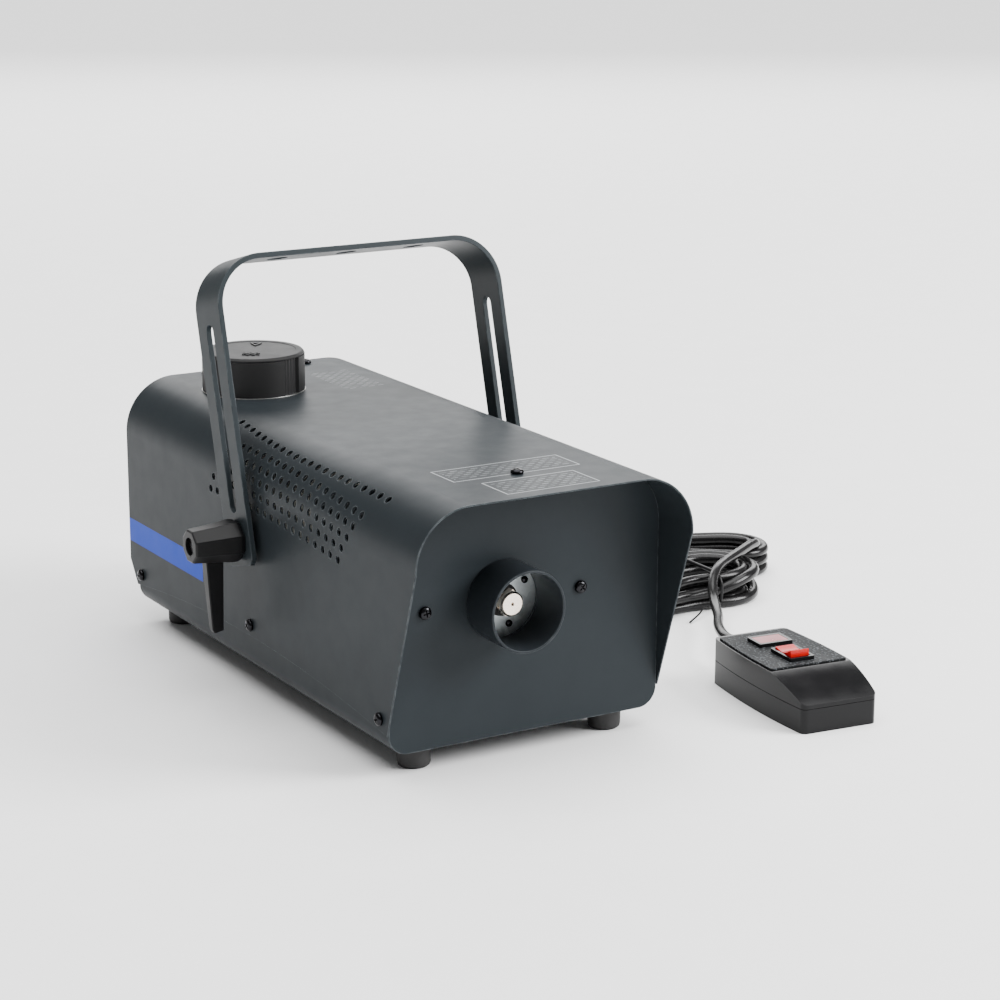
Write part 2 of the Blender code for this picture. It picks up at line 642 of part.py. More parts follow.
REMOTE_HANK = {"at": (0.266, 0.087), "turn": -29.9, "length": 0.115, "cable": REMOTE_CABLE}
MAINS_HANK = {"at": (0.217, 0.0297), "turn": 0, "length": 0.126, "cable": MAINS_CABLE}
HANK_WIDTH = 8.2  # in cable diameters
HANK_LAYERS = 3

# From the remote control's strain relief over the mains hank to its own hank.
REMOTE_FRONT_ROUTE = [
    (0.17665, -0.0936, 0.0160),
    (0.1780, -0.0860, 0.0159),
    (0.1840, -0.0735, 0.0147),
    (0.1930, -0.0600, 0.0125),
    (0.2030, -0.0470, 0.0108),
    (0.2110, -0.0330, 0.0106),
    (0.2170, -0.0210, 0.0128),
    (0.2215, -0.0125, 0.0170),
    (0.2270, -0.0050, 0.0220),
    (0.2360, 0.0035, 0.0252),
    (0.2500, 0.0145, 0.0252),
    (0.2720, 0.0290, 0.0250),
    (0.2880, 0.0400, 0.0245),
    (0.2980, 0.0480, 0.0222),
]
# From that hank round behind the machine to the socket in the rear panel.
REMOTE_REAR_ROUTE = [
    (0.2328, 0.1312, 0.0030),
    (0.2220, 0.1385, 0.0030),
    (0.2120, 0.1500, 0.0030),
    (0.2060, 0.1680, 0.0030),
    (0.1990, 0.1900, 0.0030),
    (0.1790, 0.2140, 0.0030),
    (0.1500, 0.2290, 0.0030),
    (0.1150, 0.2380, 0.0030),
    (0.0750, 0.2430, 0.0032),
    (0.0400, 0.2450, 0.0050),
    (0.0120, 0.2430, 0.0140),
    (-0.0080, 0.2350, 0.0270),
    (-0.0170, 0.2245, 0.0370),
    (-0.0199, 0.2120, 0.0418),
    (-0.0200, 0.2042, 0.0420),
]
# From the cable gland down to the floor and forward to the mains hank.
MAINS_REAR_ROUTE = [
    (0.0550, 0.1879, 0.0380),
    (0.0551, 0.1945, 0.0377),
    (0.0570, 0.2050, 0.0325),
    (0.0620, 0.2140, 0.0235),
    (0.0705, 0.2200, 0.0138),
    (0.0820, 0.2215, 0.0070),
    (0.0960, 0.2165, 0.0040),
    (0.1080, 0.2050, 0.0035),
    (0.1180, 0.1880, 0.0035),
    (0.1240, 0.1680, 0.0035),
    (0.1270, 0.1450, 0.0035),
    (0.1275, 0.1150, 0.0035),
    (0.1280, 0.0900, 0.0035),
    (0.1330, 0.0710, 0.0035),
    (0.1450, 0.0585, 0.0035),
    (0.1600, 0.0550, 0.0035),
]
# From the mains hank to the plug.
MAINS_PLUG_ROUTE = [
    (0.1600, 0.0045, 0.0035),
    (0.1480, 0.0045, 0.0037),
    (0.1350, 0.0035, 0.0050),
    (0.1225, 0.0000, 0.0085),
    (0.1130, -0.0060, 0.0135),
    (0.1068, -0.0140, 0.0175),
    (0.1051, -0.0215, 0.0190),
    (0.1050, -0.0260, 0.0190),
]
PLUG_AT = (0.105, -0.0265, 0.019)


def make_hank(name, hank, parent, finish):
    cable = hank["cable"]
    width = HANK_WIDTH * cable
    half = hank["length"] / 2 - width / 2
    outline = [*arc((half, 0), width / 2, -90, 90, 12), *arc((-half, 0), width / 2, 90, 270, 12)]
    at = (*hank["at"], 0)
    turn = (0, 0, math.radians(hank["turn"]))
    solid = slab(name, [outline], 0, HANK_LAYERS * cable, "Z", parent, finish, at, turn)
    soften(solid, 0.4 * cable, 2, 60)


def make_cables(machine, cable_black, black_plastic, steel):
    tube("remote_cord_front", REMOTE_FRONT_ROUTE, REMOTE_CABLE / 2, machine, cable_black)
    make_hank("remote_hank", REMOTE_HANK, machine, cable_black)
    tube("remote_cord_rear", REMOTE_REAR_ROUTE, REMOTE_CABLE / 2, machine, cable_black)
    tube("mains_cord_rear", MAINS_REAR_ROUTE, MAINS_CABLE / 2, machine, cable_black)
    make_hank("mains_hank", MAINS_HANK, machine, cable_black)
    tube("mains_cord_plug", MAINS_PLUG_ROUTE, MAINS_CABLE / 2, machine, cable_black)

    backward = (-math.pi / 2, 0, 0)
    behind = PANEL_Y + GAP

    def fitting(name, at, profile, finish, offset=0.0):
        x, z, _ = REAR_FITTINGS[at]
        turned(name, profile, machine, finish, (x, behind + offset, z), backward, 20)

    gland = [(0, 0.030), (0.0042, 0.030), (0.0058, 0.007), (0.0085, 0.006), (0.0085, 0), (0, 0)]
    fitting("mains_gland", "mains", gland, black_plastic)
    fitting("fuse_holder", "fuse", [(0, 0.004), (0.0082, 0.004), (0.0085, 0), (0, 0)], black_plastic)
    fuse_cap = [(0, 0.0075), (0.0058, 0.0075), (0.0064, 0.0065), (0.0064, 0), (0, 0)]
    fitting("fuse_cap", "fuse", fuse_cap, black_plastic, 0.004 + GAP)
    fitting("remote_socket", "remote", [(0, 0.004), (0.0105, 0.004), (0.011, 0), (0, 0)], steel)
    connector = [(0, 0.042), (0.0036, 0.042), (0.0055, 0.026), (0.0085, 0.025), (0.009, 0), (0, 0)]
    fitting("remote_connector", "remote", connector, black_plastic, 0.004 + GAP)

    body = [(0, 0.054), (0.0170, 0.054), (0.0185, 0.0525), (0.0185, 0.033), (0.0120, 0.022), (0.0068, 0.019)]
    body += [(0.0046, 0), (0, 0)]
    forward = (math.pi / 2, 0, 0)
    plug = turned("mains_plug", body, machine, black_plastic, PLUG_AT, forward, 24)
    pin_y = PLUG_AT[1] - 0.062
    pins = [(PLUG_AT[0] + x, pin_y, PLUG_AT[2]) for x in (-0.0095, 0.0095)]
    combine(plug, pegs("plug_pins", pins, 0.0024, 0.022, "Y", machine), "UNION")


def main():
    clear_scene()
    paint = material("grey_powder_coat", (0.075, 0.090, 0.100), 0.42)
    black_steel = material("black_steel", (0.02, 0.02, 0.022), 0.35, 0.8)
    zinc = material("galvanised_steel", (0.55, 0.58, 0.58), 0.40, 1.0)
    aluminium = material("cast_aluminium", (0.60, 0.60, 0.60), 0.50, 1.0)
    nickel = material("nickel_plated_brass", (0.82, 0.78, 0.70), 0.25, 1.0)
    black_plastic = material("black_plastic", (0.020, 0.020, 0.022), 0.45)
    remote_plastic = material("remote_plastic", (0.022, 0.022, 0.023), 0.35)
    label_grey = material("remote_label_grey", (0.10, 0.11, 0.11), 0.60)
    tank_plastic = material("tank_plastic", (0.75, 0.75, 0.70), 0.40)
    pump_plastic = material("pump_plastic", (0.55, 0.10, 0.07), 0.50)
    board_green = material("board_green", (0.03, 0.16, 0.07), 0.45)
    rubber = material("foot_rubber", (0.025, 0.023, 0.024), 0.80)
    hose_rubber = material("hose_silicone", (0.55, 0.16, 0.08), 0.50)
    cable_black = material("cable_jacket", (0.022, 0.021, 0.022), 0.38)
    red_glow = material("red_rocker", (0.55, 0.03, 0.02), 0.25)
    red_lamp = material("red_lamp", (0.45, 0.06, 0.06), 0.30)

    machine = empty("machine", None, MACHINE_AT)
    make_case(machine, paint, zinc)
    make_screws(machine, black_steel)
    make_feet(machine, rubber)
    make_heater(machine, paint, zinc, aluminium, nickel, black_plastic)
    make_tank(machine, tank_plastic, black_plastic, rubber)
    make_pump(machine, pump_plastic, black_steel, hose_rubber, board_green)
    make_yoke(machine, paint, black_plastic, black_steel)
    make_remote(machine, remote_plastic, label_grey, red_glow, red_lamp, black_plastic)
    make_cables(machine, cable_black, black_plastic, black_steel)


main()
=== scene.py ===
"""The looks of the small stage fog machine: its camera, cables, finer pieces, finishes and studio.

Pieces are made in the machine's own frame, or the yoke's or remote control's, in metres, and then
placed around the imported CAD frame. Angles are in degrees.
"""

from math import cos, pi, radians, sin

import bmesh
import bpy
from mathutils import Matrix, Vector


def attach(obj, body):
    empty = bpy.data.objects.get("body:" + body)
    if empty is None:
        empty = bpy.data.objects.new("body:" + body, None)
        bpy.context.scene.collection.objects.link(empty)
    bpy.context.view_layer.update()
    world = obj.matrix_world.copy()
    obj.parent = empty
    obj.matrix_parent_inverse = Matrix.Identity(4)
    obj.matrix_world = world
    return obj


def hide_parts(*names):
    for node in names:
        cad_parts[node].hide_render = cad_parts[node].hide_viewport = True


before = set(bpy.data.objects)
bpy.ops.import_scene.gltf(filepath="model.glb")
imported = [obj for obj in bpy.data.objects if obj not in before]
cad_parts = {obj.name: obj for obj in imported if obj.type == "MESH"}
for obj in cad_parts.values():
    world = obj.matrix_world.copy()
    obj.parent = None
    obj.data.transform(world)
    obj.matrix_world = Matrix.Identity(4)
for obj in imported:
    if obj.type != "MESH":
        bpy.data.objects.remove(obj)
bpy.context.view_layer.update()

MACHINE_AT = Vector((-0.03955, 0.02176, 0.0))
GAP = 0.0003

# Case
HALF_WIDTH = 0.0825
TOP = 0.1478
TOP_RADIUS = 0.0314
BEND_X = HALF_WIDTH - TOP_RADIUS
BEND_Z = TOP - TOP_RADIUS
SHEET = 0.001
PANEL_Y = 0.15725
VISOR_Y = -0.1875
VISOR_KNEE = 0.11575
TAIL_Y = 0.1673
TAIL_KNEE = 0.0379
HOOD_LOW = 0.0239
ARCH = 0.0101
PAN_BOTTOM = 0.01265

# Nozzle
NOZZLE_X = -0.0145
NOZZLE_Z = 0.086
TUBE_RADIUS = 0.02175
TUBE_WALL = 0.0015
TUBE_LENGTH = 0.0257

# Tank cap
CAP_AT = (-0.0263, 0.1072)
CAP_RADIUS = 0.03
CAP_BOTTOM = TOP + 0.0005
CAP_TOP = 0.1712

# Yoke and clamps
PIVOT_Z = 0.0905
YOKE_LEAN = 15
STRAP_WIDTH = 0.0308
STRAP = 0.003
YOKE_HALF = 0.0892
YOKE_TOP = 0.1537
YOKE_RADIUS = 0.0285
YOKE_TAIL = 0.0148
LEVER_REACH = 0.051
HUB_IN = YOKE_HALF + GAP
HUB_OUT = 0.118

# Remote control
REMOTE_AT = (0.14174, -0.20848, 0.0)
REMOTE_TURN = -5.85
REMOTE_WIDTH = 0.046
REMOTE_LENGTH = 0.0972
REMOTE_SEAM = 0.0137
REMOTE_TOP = 0.0264
REMOTE_WALL = 0.002
REMOTE_BULGE = 0.0028
NOSE_LENGTH = 0.0319
NOSE_TOP = 0.0161
NOSE_BULGE = 0.0011
LABEL_TOP = REMOTE_TOP + GAP + 0.0006
ROCKER_AT = (0.0221, 0.0489)
ROCKER_TILT = -8
LAMP_AT = (0.0229, 0.0745)

# Cables' diameters
REMOTE_CABLE = 0.006
MAINS_CABLE = 0.007

SIDES = (("left", -1), ("right", 1))


def moved(x, y, z):
    return Matrix.Translation((x, y, z))


def spun(axis, angle):
    return Matrix.Rotation(radians(angle), 4, axis)


MACHINE = moved(*MACHINE_AT)
YOKE = MACHINE @ moved(0, 0, PIVOT_Z) @ spun("X", -YOKE_LEAN)
REMOTE = MACHINE @ moved(*REMOTE_AT) @ spun("Z", REMOTE_TURN)
FORWARD = spun("X", 90)  # turns a piece made along +z to face -y
BACKWARD = spun("X", -90)


# Objects


def new_object(name, data):
    obj = bpy.data.objects.new(name, data)
    bpy.context.scene.collection.objects.link(obj)
    return obj


def edit(mesh, change):
    bm = bmesh.new()
    bm.from_mesh(mesh)
    change(bm)
    bm.to_mesh(mesh)
    bm.free()
    return mesh


def mesh_object(name, build):
    return new_object(name, edit(bpy.data.meshes.new(name), build))


def evaluated(obj):
    """The mesh that an object's curve or modifiers come to."""
    bpy.context.view_layer.update()
    graph = bpy.context.evaluated_depsgraph_get()
    return bpy.data.meshes.new_from_object(obj.evaluated_get(graph))


def settle(obj):
    """Turns an object's modifiers into its mesh."""
    mesh = evaluated(obj)
    obj.modifiers.clear()
    obj.data = mesh
    return obj


# Camera

CAMERA_AT = (-0.71915, -1.24174, 0.4776)
CAMERA_YAW = 30.945
CAMERA_PITCH = 14.713
CAMERA_ROLL = 0.19


def make_camera():
    data = bpy.data.cameras.new("camera")
    data.lens = 94.85
    data.sensor_width = 36
    data.clip_start = 0.05
    camera = new_object("camera", data)
    look = spun("Z", -CAMERA_YAW) @ spun("X", 90 - CAMERA_PITCH) @ spun("Z", CAMERA_ROLL)
    camera.matrix_world = moved(*CAMERA_AT) @ look
    bpy.context.scene.camera = camera


make_camera()


# Finishes


class Finish:
    """A material, and the steps that build up its node tree."""

    def __init__(self, name, colour, roughness, metallic=0.0, vary=0.1, rough_vary=0.06, gloss=0.5):
        self.material = bpy.data.materials.new(name)
        self.material.use_nodes = True
        self.tree = self.material.node_tree
        self.place = self.node("TexCoord", {}).outputs["Object"]
        self.set("Metallic", metallic)
        self.set("Specular IOR Level", gloss)
        low, high = roughness - rough_vary, roughness + rough_vary
        self.set("Roughness", self.remap(self.noise(75.0, 5.0), 0.3, 0.7, low, high))
        self.colour = tuple(c * (1 - vary) for c in colour)
        lighter = tuple(min(1.0, c * (1 + vary)) for c in colour)
        self.cover(self.remap(self.noise(28.0, 4.0), 0.3, 0.7), lighter)

    def fill(self, socket, value):
        """Sets an input, or links it where the value is another node's output."""
        if isinstance(value, bpy.types.NodeSocket):
            self.tree.links.new(value, socket)
        else:
            socket.default_value = value

    def set(self, name, value):
        self.fill(self.tree.nodes["Principled BSDF"].inputs[name], value)

    def node(self, kind, inputs, **settings):
        node = self.tree.nodes.new("ShaderNode" + kind)
        for name, value in settings.items():
            setattr(node, name, value)
        for key, value in inputs.items():
            self.fill(node.inputs[key], value)
        return node

    def maths(self, operation, *values):
        return self.node("Math", dict(enumerate(values)), operation=operation).outputs[0]

    def times(self, first, second):
        return self.maths("MULTIPLY", first, second)

    def noise(self, scale, detail):
        inputs = {"Vector": self.place, "Scale": scale, "Detail": detail, "Roughness": 0.55}
        return self.node("TexNoise", inputs).outputs["Fac"]

    def remap(self, value, low, high, to_low=0.0, to_high=1.0):
        inputs = {"Value": value, "From Min": low, "From Max": high, "To Min": to_low, "To Max": to_high}
        return self.node("MapRange", inputs).outputs["Result"]

    def grey(self, colour):
        return self.node("RGBToBW", {0: colour}).outputs[0]

    def bump(self, height, depth, strength):
        inputs = {"Height": height, "Distance": depth, "Strength": strength}
        self.set("Normal", self.node("Bump", inputs).outputs["Normal"])

    def cover(self, amount, colour):
        """Lays another colour over the present one."""
        ends = [(*c, 1.0) if isinstance(c, tuple) else c for c in (self.colour, colour)]
        mix = self.node("Mix", {0: amount, 6: ends[0], 7: ends[1]}, data_type="RGBA")
        self.colour = mix.outputs[2]
        self.set("Base Color", self.colour)

    def speckle(self, scale, amount, colour):
        """Fine grains of another colour."""
        self.cover(self.remap(self.noise(scale, 2.0), 0.55, 0.7, 0.0, amount), colour)

    def edge_wear_and_highlight(self, radius, amount, colour):
        """Another colour on convex and concave edges, in patches: rubbed wear, and on the powder coat a
        painted highlight where the edges catch the light.
        """
        edge = self.node("Bevel", {"Radius": radius}, samples=4).outputs["Normal"]
        face = self.node("NewGeometry", {}).outputs["Normal"]
        flatness = self.node("VectorMath", {0: edge, 1: face}, operation="DOT_PRODUCT").outputs["Value"]
        in_patches = self.remap(self.noise(160.0, 4.0), 0.4, 0.62, 0.25)
        edges = self.times(self.remap(flatness, 0.98, 0.8), in_patches)
        self.cover(self.times(edges, amount), colour)

    def within(self, low, high):
        """1 inside a box of the piece's own space, and 0 outside it."""
        inside = 1.0
        for socket, a, b in zip(self.node("SeparateXYZ", {0: self.place}).outputs, low, high):
            inside = self.times(inside, self.maths("COMPARE", socket, (a + b) / 2, (b - a) / 2))
        return inside


PAINT_GREY = (0.0165, 0.0205, 0.0235)


def powder_coat(name, colour=PAINT_GREY, roughness=0.4):
    """Fine-grained matt powder coat, with a painted highlight: a lighter colour along its edges, in patches.
    """
    finish = Finish(name, colour, roughness, vary=0.05, rough_vary=0.03, gloss=0.09)
    finish.speckle(2200.0, 0.25, tuple(c * 1.6 for c in colour))
    # painted highlight: the lighter colour along the edges stands in for the light that the edges catch
    finish.edge_wear_and_highlight(0.0009, 0.75, (0.16, 0.18, 0.19))
    finish.bump(finish.noise(1500.0, 2.0), 0.00004, 0.25)
    return finish


def metal(name, colour, roughness, scratches=1.0):
    finish = Finish(name, colour, roughness, metallic=1.0, vary=0.08, rough_vary=0.08)
    finish.bump(finish.noise(420.0, 6.0), 0.00003, 0.2 * scratches)
    return finish


def spangled_zinc(name):
    """Galvanised steel with the patchwork of its zinc crystals."""
    finish = metal(name, (0.7, 0.75, 0.76), 0.38)
    crystals = finish.node("TexVoronoi", {"Vector": finish.place, "Scale": 240.0})
    tone = finish.grey(crystals.outputs["Color"])
    finish.cover(finish.remap(tone, 0.2, 0.8, 0.0, 0.5), (0.36, 0.41, 0.43))
    return finish


def plastic(name, colour, roughness, grain=900.0, depth=0.00003, edge_wear_and_highlight=0.25):
    finish = Finish(name, colour, roughness, vary=0.08, rough_vary=0.04, gloss=0.18)
    finish.edge_wear_and_highlight(0.0005, edge_wear_and_highlight, tuple(min(1, c * 2.2 + 0.02) for c in colour))
    finish.bump(finish.noise(grain, 3.0), depth, 0.3)
    return finish


def leather_grain(name, colour, roughness):
    """A moulded sheet with a pebbled skin, and painted highlights on the crowns of its pebbles."""
    finish = Finish(name, colour, roughness, gloss=0.12)
    inputs = {"Vector": finish.place, "Scale": 560.0, "Smoothness": 0.3}
    pebbles = finish.node("TexVoronoi", inputs, feature="SMOOTH_F1")
    crowns = finish.remap(pebbles.outputs["Distance"], 0.15, 0.45, 1.0, 0.0)
    # painted highlight: the pebbles' crowns are coloured far lighter, as if they catch the light
    finish.cover(finish.times(crowns, 0.85), tuple(c * 9.0 for c in colour))
    finish.bump(crowns, 0.0006, 1.0)
    return finish


def rubber(name, colour, roughness):
    finish = Finish(name, colour, roughness, vary=0.12)
    finish.bump(finish.noise(700.0, 4.0), 0.00006, 0.5)
    return finish


def jacket(name):
    """A cable's PVC skin, with faint scuffs."""
    finish = Finish(name, (0.006, 0.0058, 0.006), 0.22, vary=0.15, rough_vary=0.04, gloss=0.22)
    finish.speckle(420.0, 0.1, (0.03, 0.03, 0.032))
    finish.bump(finish.noise(300.0, 3.0), 0.00003, 0.2)
    return finish


def lit_red(name, colour, roughness, glow):
    """Translucent red moulding over a small lamp."""
    finish = Finish(name, colour, roughness, vary=0.12, gloss=0.15)
    finish.set("Transmission Weight", 0.15)
    finish.set("Emission Color", (*colour, 1.0))
    finish.set("Emission Strength", glow)
    finish.bump(finish.noise(500.0, 2.0), 0.00005, 0.3)
    return finish


STRIPE_BLUE = (0.001, 0.04, 0.42)
STRIPE = ((-0.0835, 0.062, 0.0495), (-0.081, 0.168, 0.0635))
PRINT_WHITE = (0.5, 0.52, 0.53)
# Blocks of plain dashes on the top: two opposite corners, and the strength of the frame.
TOP_PRINTS = [
    ((-0.036, -0.1445), (0.04, -0.12), 0.55),
    ((-0.025, -0.179), (0.03, -0.153), 0.55),
    ((0.017, 0.074), (0.048, 0.132), 0.0),
]
FRAME_LINE = 0.0007
DASHES_INSET = 0.003
DASHES_STRENGTH = 0.35
DASHES = {
    "Scale": 1.0,
    "Brick Width": 0.0062,
    "Row Height": 0.003,
    "Mortar Size": 0.0011,
    "Mortar Smooth": 0.0,
    "Color1": (1, 1, 1, 1),
    "Color2": (0.3, 0.3, 0.3, 1),
    "Mortar": (0, 0, 0, 1),
}


def top_area(finish, low, high, inset):
    """1 in a rectangle on the top, drawn in by an inset, and 0 around it."""
    near = (low[0] + inset, low[1] + inset, TOP - 0.0005)
    return finish.within(near, (high[0] - inset, high[1] - inset, TOP + 0.0005))


def hood_paint():
    """The case's paint, with the blue band on its left side and the print on its top."""
    finish = powder_coat("hood_paint")
    finish.cover(finish.within(*STRIPE), STRIPE_BLUE)
    dashes = finish.grey(finish.node("TexBrick", {"Vector": finish.place, **DASHES}).outputs["Color"])
    for low, high, frame_strength in TOP_PRINTS:
        insets = (0.0, FRAME_LINE, DASHES_INSET)
        outer, inner, field = (top_area(finish, low, high, inset) for inset in insets)
        frame_line = finish.maths("SUBTRACT", outer, inner)
        finish.cover(finish.times(frame_line, frame_strength), PRINT_WHITE)
        finish.cover(finish.times(finish.times(field, dashes), DASHES_STRENGTH), PRINT_WHITE)
    return finish


HOOD_PAINT = hood_paint()
PAINT = powder_coat("case_paint")
YOKE_PAINT = powder_coat("yoke_paint", (0.018, 0.023, 0.026), 0.38)
# painted shade: a darker copy of the case's paint, standing in for the shade on the nozzle tube
SHADED_TUBE_PAINT = powder_coat("tube_paint_painted_shade", (0.014, 0.017, 0.02), 0.36)
ZINC = spangled_zinc("galvanised_steel")
ALUMINIUM = metal("cast_aluminium", (0.6, 0.6, 0.6), 0.5, 2.5)
NICKEL = metal("nickel_plated_brass", (0.86, 0.76, 0.66), 0.26)
BLACK_STEEL = metal("black_steel", (0.02, 0.02, 0.022), 0.24)
STUD_STEEL = metal("stud_steel", (0.42, 0.42, 0.41), 0.32)
BLACK_PLASTIC = plastic("black_plastic", (0.005, 0.005, 0.0055), 0.36)
CAP_PLASTIC = plastic("cap_plastic", (0.014, 0.014, 0.0145), 0.52, edge_wear_and_highlight=0.6)
CAP_MARK = plastic("cap_mark", (0.035, 0.035, 0.036), 0.4, edge_wear_and_highlight=0.6)
REMOTE_PLASTIC = plastic("remote_plastic", (0.004, 0.004, 0.0045), 0.17, 500.0, 0.00001)
LABEL = leather_grain("remote_label_grain", (0.012, 0.013, 0.014), 0.55)
TANK_PLASTIC = plastic("tank_plastic", (0.72, 0.72, 0.66), 0.42)
PUMP_PLASTIC = plastic("pump_plastic", (0.5, 0.09, 0.06), 0.45)
BOARD = plastic("circuit_board", (0.025, 0.13, 0.055), 0.4)
FOOT_RUBBER = rubber("foot_rubber", (0.008, 0.0075, 0.0078), 0.62)
HOSE = rubber("hose_silicone", (0.45, 0.12, 0.06), 0.45)
CABLE = jacket("cable_jacket")
ROCKER_RED = lit_red("rocker_red", (0.48, 0.006, 0.006), 0.14, 0.12)
LAMP_RED = lit_red("lamp_red", (0.26, 0.055, 0.065), 0.22, 0.06)


# Shapes


def combine(obj, *others, operation="DIFFERENCE"):
    """Booleans each of the others with obj, and then removes them."""
    for other in others:
        boolean = obj.modifiers.new("combine", "BOOLEAN")
        boolean.operation = operation
        boolean.solver = "EXACT"
        boolean.object = other
    settle(obj)
    for other in others:
        bpy.data.objects.remove(other, do_unlink=True)
    return obj


def bevelled(obj, width, segments, angle):
    """Rounds the edges that bend by more than an angle."""
    bevel = obj.modifiers.new("bevel", "BEVEL")
    bevel.width = width
    bevel.segments = segments
    bevel.limit_method = "ANGLE"
    bevel.angle_limit = radians(angle)
    return settle(obj)


def soften(obj, width, segments=2, angle=35):
    """Rounds the edges, and shades flat faces flat and bent ones smooth."""
    obj.data.shade_smooth()
    obj.data.set_sharp_from_angle(angle=radians(angle))
    if width:
        bevelled(obj, width, segments, angle)
        obj.data.shade_smooth()
        obj.data.set_sharp_from_angle(angle=radians(50))
    weighted = obj.modifiers.new("shading", "WEIGHTED_NORMAL")
    weighted.keep_sharp = True
    return settle(obj)


def place(obj, finish, body="case", at=MACHINE, nodes=()):
    """Gives a piece its material, place and CAD body, and the CAD nodes that it stands for."""
    obj.data.materials.clear()
    obj.data.materials.append(finish.material)
    obj.matrix_world = at
    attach(obj, body)
    if nodes:
        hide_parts(*nodes)
    return obj


def arc(centre, radius, start, end, steps):
    angles = [radians(start + (end - start) * i / steps) for i in range(steps + 1)]
    return [(centre[0] + radius * cos(a), centre[1] + radius * sin(a)) for a in angles]


def rounded(low, high, radius, steps=6):
    left, front = low[0] + radius, low[1] + radius
    right, rear = high[0] - radius, high[1] - radius
    outline = []
    for i, centre in enumerate(((right, rear), (left, rear), (left, front), (right, front))):
        outline += arc(centre, radius, 90 * i, 90 * i + 90, steps)
    return outline


def around(centre, width, length, radius):
    low = (centre[0] - width / 2, centre[1] - length / 2)
    return rounded(low, (centre[0] + width / 2, centre[1] + length / 2), radius, 4)


def circle(centre, radius, steps=32):
    return arc(centre, radius, 0, 360, steps)[:-1]


def add_line(curve, points, closed):
    spline = curve.splines.new("POLY")
    spline.points.add(len(points) - 1)
    for point, spot in zip(spline.points, points):
        point.co = (*spot, 1)
    spline.use_cyclic_u = closed
    return spline


FACING = {
    "X": Matrix(((0, 0, 1), (1, 0, 0), (0, 1, 0))),
    "Y": Matrix(((1, 0, 0), (0, 0, -1), (0, 1, 0))),
    "Z": Matrix.Identity(3),
}


def slab(name, outlines, start, end, axis="Z"):
    """A flat outline, with holes, that is as thick as start to end along an axis."""
    curve = bpy.data.curves.new(name, "CURVE")
    curve.dimensions = "2D"
    curve.fill_mode = "BOTH"
    curve.extrude = abs(end - start) / 2
    for outline in outlines:
        add_line(curve, [(x, y, 0) for x, y in outline], True)
    guide = new_object(name + "_outline", curve)
    mesh = evaluated(guide)
    bpy.data.objects.remove(guide, do_unlink=True)
    middle = Vector([axis == letter for letter in "XYZ"]) * (start + end) / 2

    def stand(bm):
        bmesh.ops.remove_doubles(bm, verts=bm.verts, dist=0.00001)
        bm.transform(moved(*middle) @ FACING[axis].to_4x4())
        bmesh.ops.recalc_face_normals(bm, faces=bm.faces)
        if bm.calc_volume(signed=True) < 0:
            bmesh.ops.reverse_faces(bm, faces=bm.faces)

    return new_object(name, edit(mesh, stand))


def folded(name, path, half_length, thickness, middle=0.0):
    """Sheet metal folded along a path in x, z."""

    def build(bm):
        ends = (middle - half_length, middle + half_length)
        rows = [[bm.verts.new((x, y, z)) for x, z in path] for y in ends]
        for i in range(len(path) - 1):
            bm.faces.new((rows[0][i], rows[0][i + 1], rows[1][i + 1], rows[1][i]))

    obj = mesh_object(name, build)
    solidify = obj.modifiers.new("thickness", "SOLIDIFY")
    solidify.thickness = thickness
    solidify.offset = -1
    solidify.use_even_offset = True
    return settle(obj)


def turned(name, profile, steps=48, hollow=False):
    """A profile of radius and height turned about z, its outer side listed from top to bottom."""

    def build(bm):
        points = [bm.verts.new((radius, 0, height)) for radius, height in profile]
        for first, second in zip(points, points[1:]):
            bm.edges.new((first, second))
        if hollow:
            bm.edges.new((points[-1], points[0]))

    obj = mesh_object(name, build)
    screw = obj.modifiers.new("turn", "SCREW")
    screw.axis = "Z"
    screw.steps = steps
    screw.render_steps = steps
    screw.use_merge_vertices = True
    screw.merge_threshold = 0.00001
    edit(settle(obj).data, lambda bm: bmesh.ops.recalc_face_normals(bm, faces=bm.faces))
    return obj


def pegs(name, axes, radius, length, sides=24):
    """Cylinders of one size as one object, each from its middle and its direction."""
    size = {"segments": sides, "radius1": radius, "radius2": radius, "depth": length}

    def build(bm):
        for middle, direction in axes:
            turn = Vector(direction).to_track_quat("Z", "Y").to_matrix().to_4x4()
            bmesh.ops.create_cone(bm, cap_ends=True, matrix=moved(*middle) @ turn, **size)

    return mesh_object(name, build)


def block(name, low, high):
    middle = (Vector(low) + Vector(high)) / 2
    size = Matrix.Diagonal((Vector(high) - Vector(low)).to_4d())
    return mesh_object(name, lambda bm: bmesh.ops.create_cube(bm, size=1, matrix=moved(*middle) @ size))


def curve_through(points, spacing):
    """Points about a spacing apart on a smooth curve through the given ones."""
    knots = [Vector(p) for p in points]
    ends = [2 * knots[0] - knots[1], *knots, 2 * knots[-1] - knots[-2]]
    fine = []
    for a, b, c, d in zip(ends, ends[1:], ends[2:], ends[3:]):
        for i in range(16):
            t = i / 16
            bend = (2 * a - 5 * b + 4 * c - d) * t**2 + (3 * b - a - 3 * c + d) * t**3
            fine.append(0.5 * (2 * b + (c - a) * t + bend))
    fine.append(knots[-1])
    length = sum((q - p).length for p, q in zip(fine, fine[1:]))
    count = max(2, round(length / spacing))
    route = [fine[0]]
    walked = 0.0
    for p, q in zip(fine, fine[1:]):
        step = (q - p).length
        while len(route) < count and walked + step >= length * len(route) / count:
            route.append(p.lerp(q, (length * len(route) / count - walked) / step))
        walked += step
    return [*route, fine[-1]]


def wire(name, points, radius, spacing, sides=5):
    curve = bpy.data.curves.new(name, "CURVE")
    curve.dimensions = "3D"
    curve.bevel_depth = radius
    curve.bevel_resolution = sides
    curve.use_fill_caps = True
    add_line(curve, curve_through(points, spacing), False).use_smooth = True
    return new_object(name, curve)


# Cables

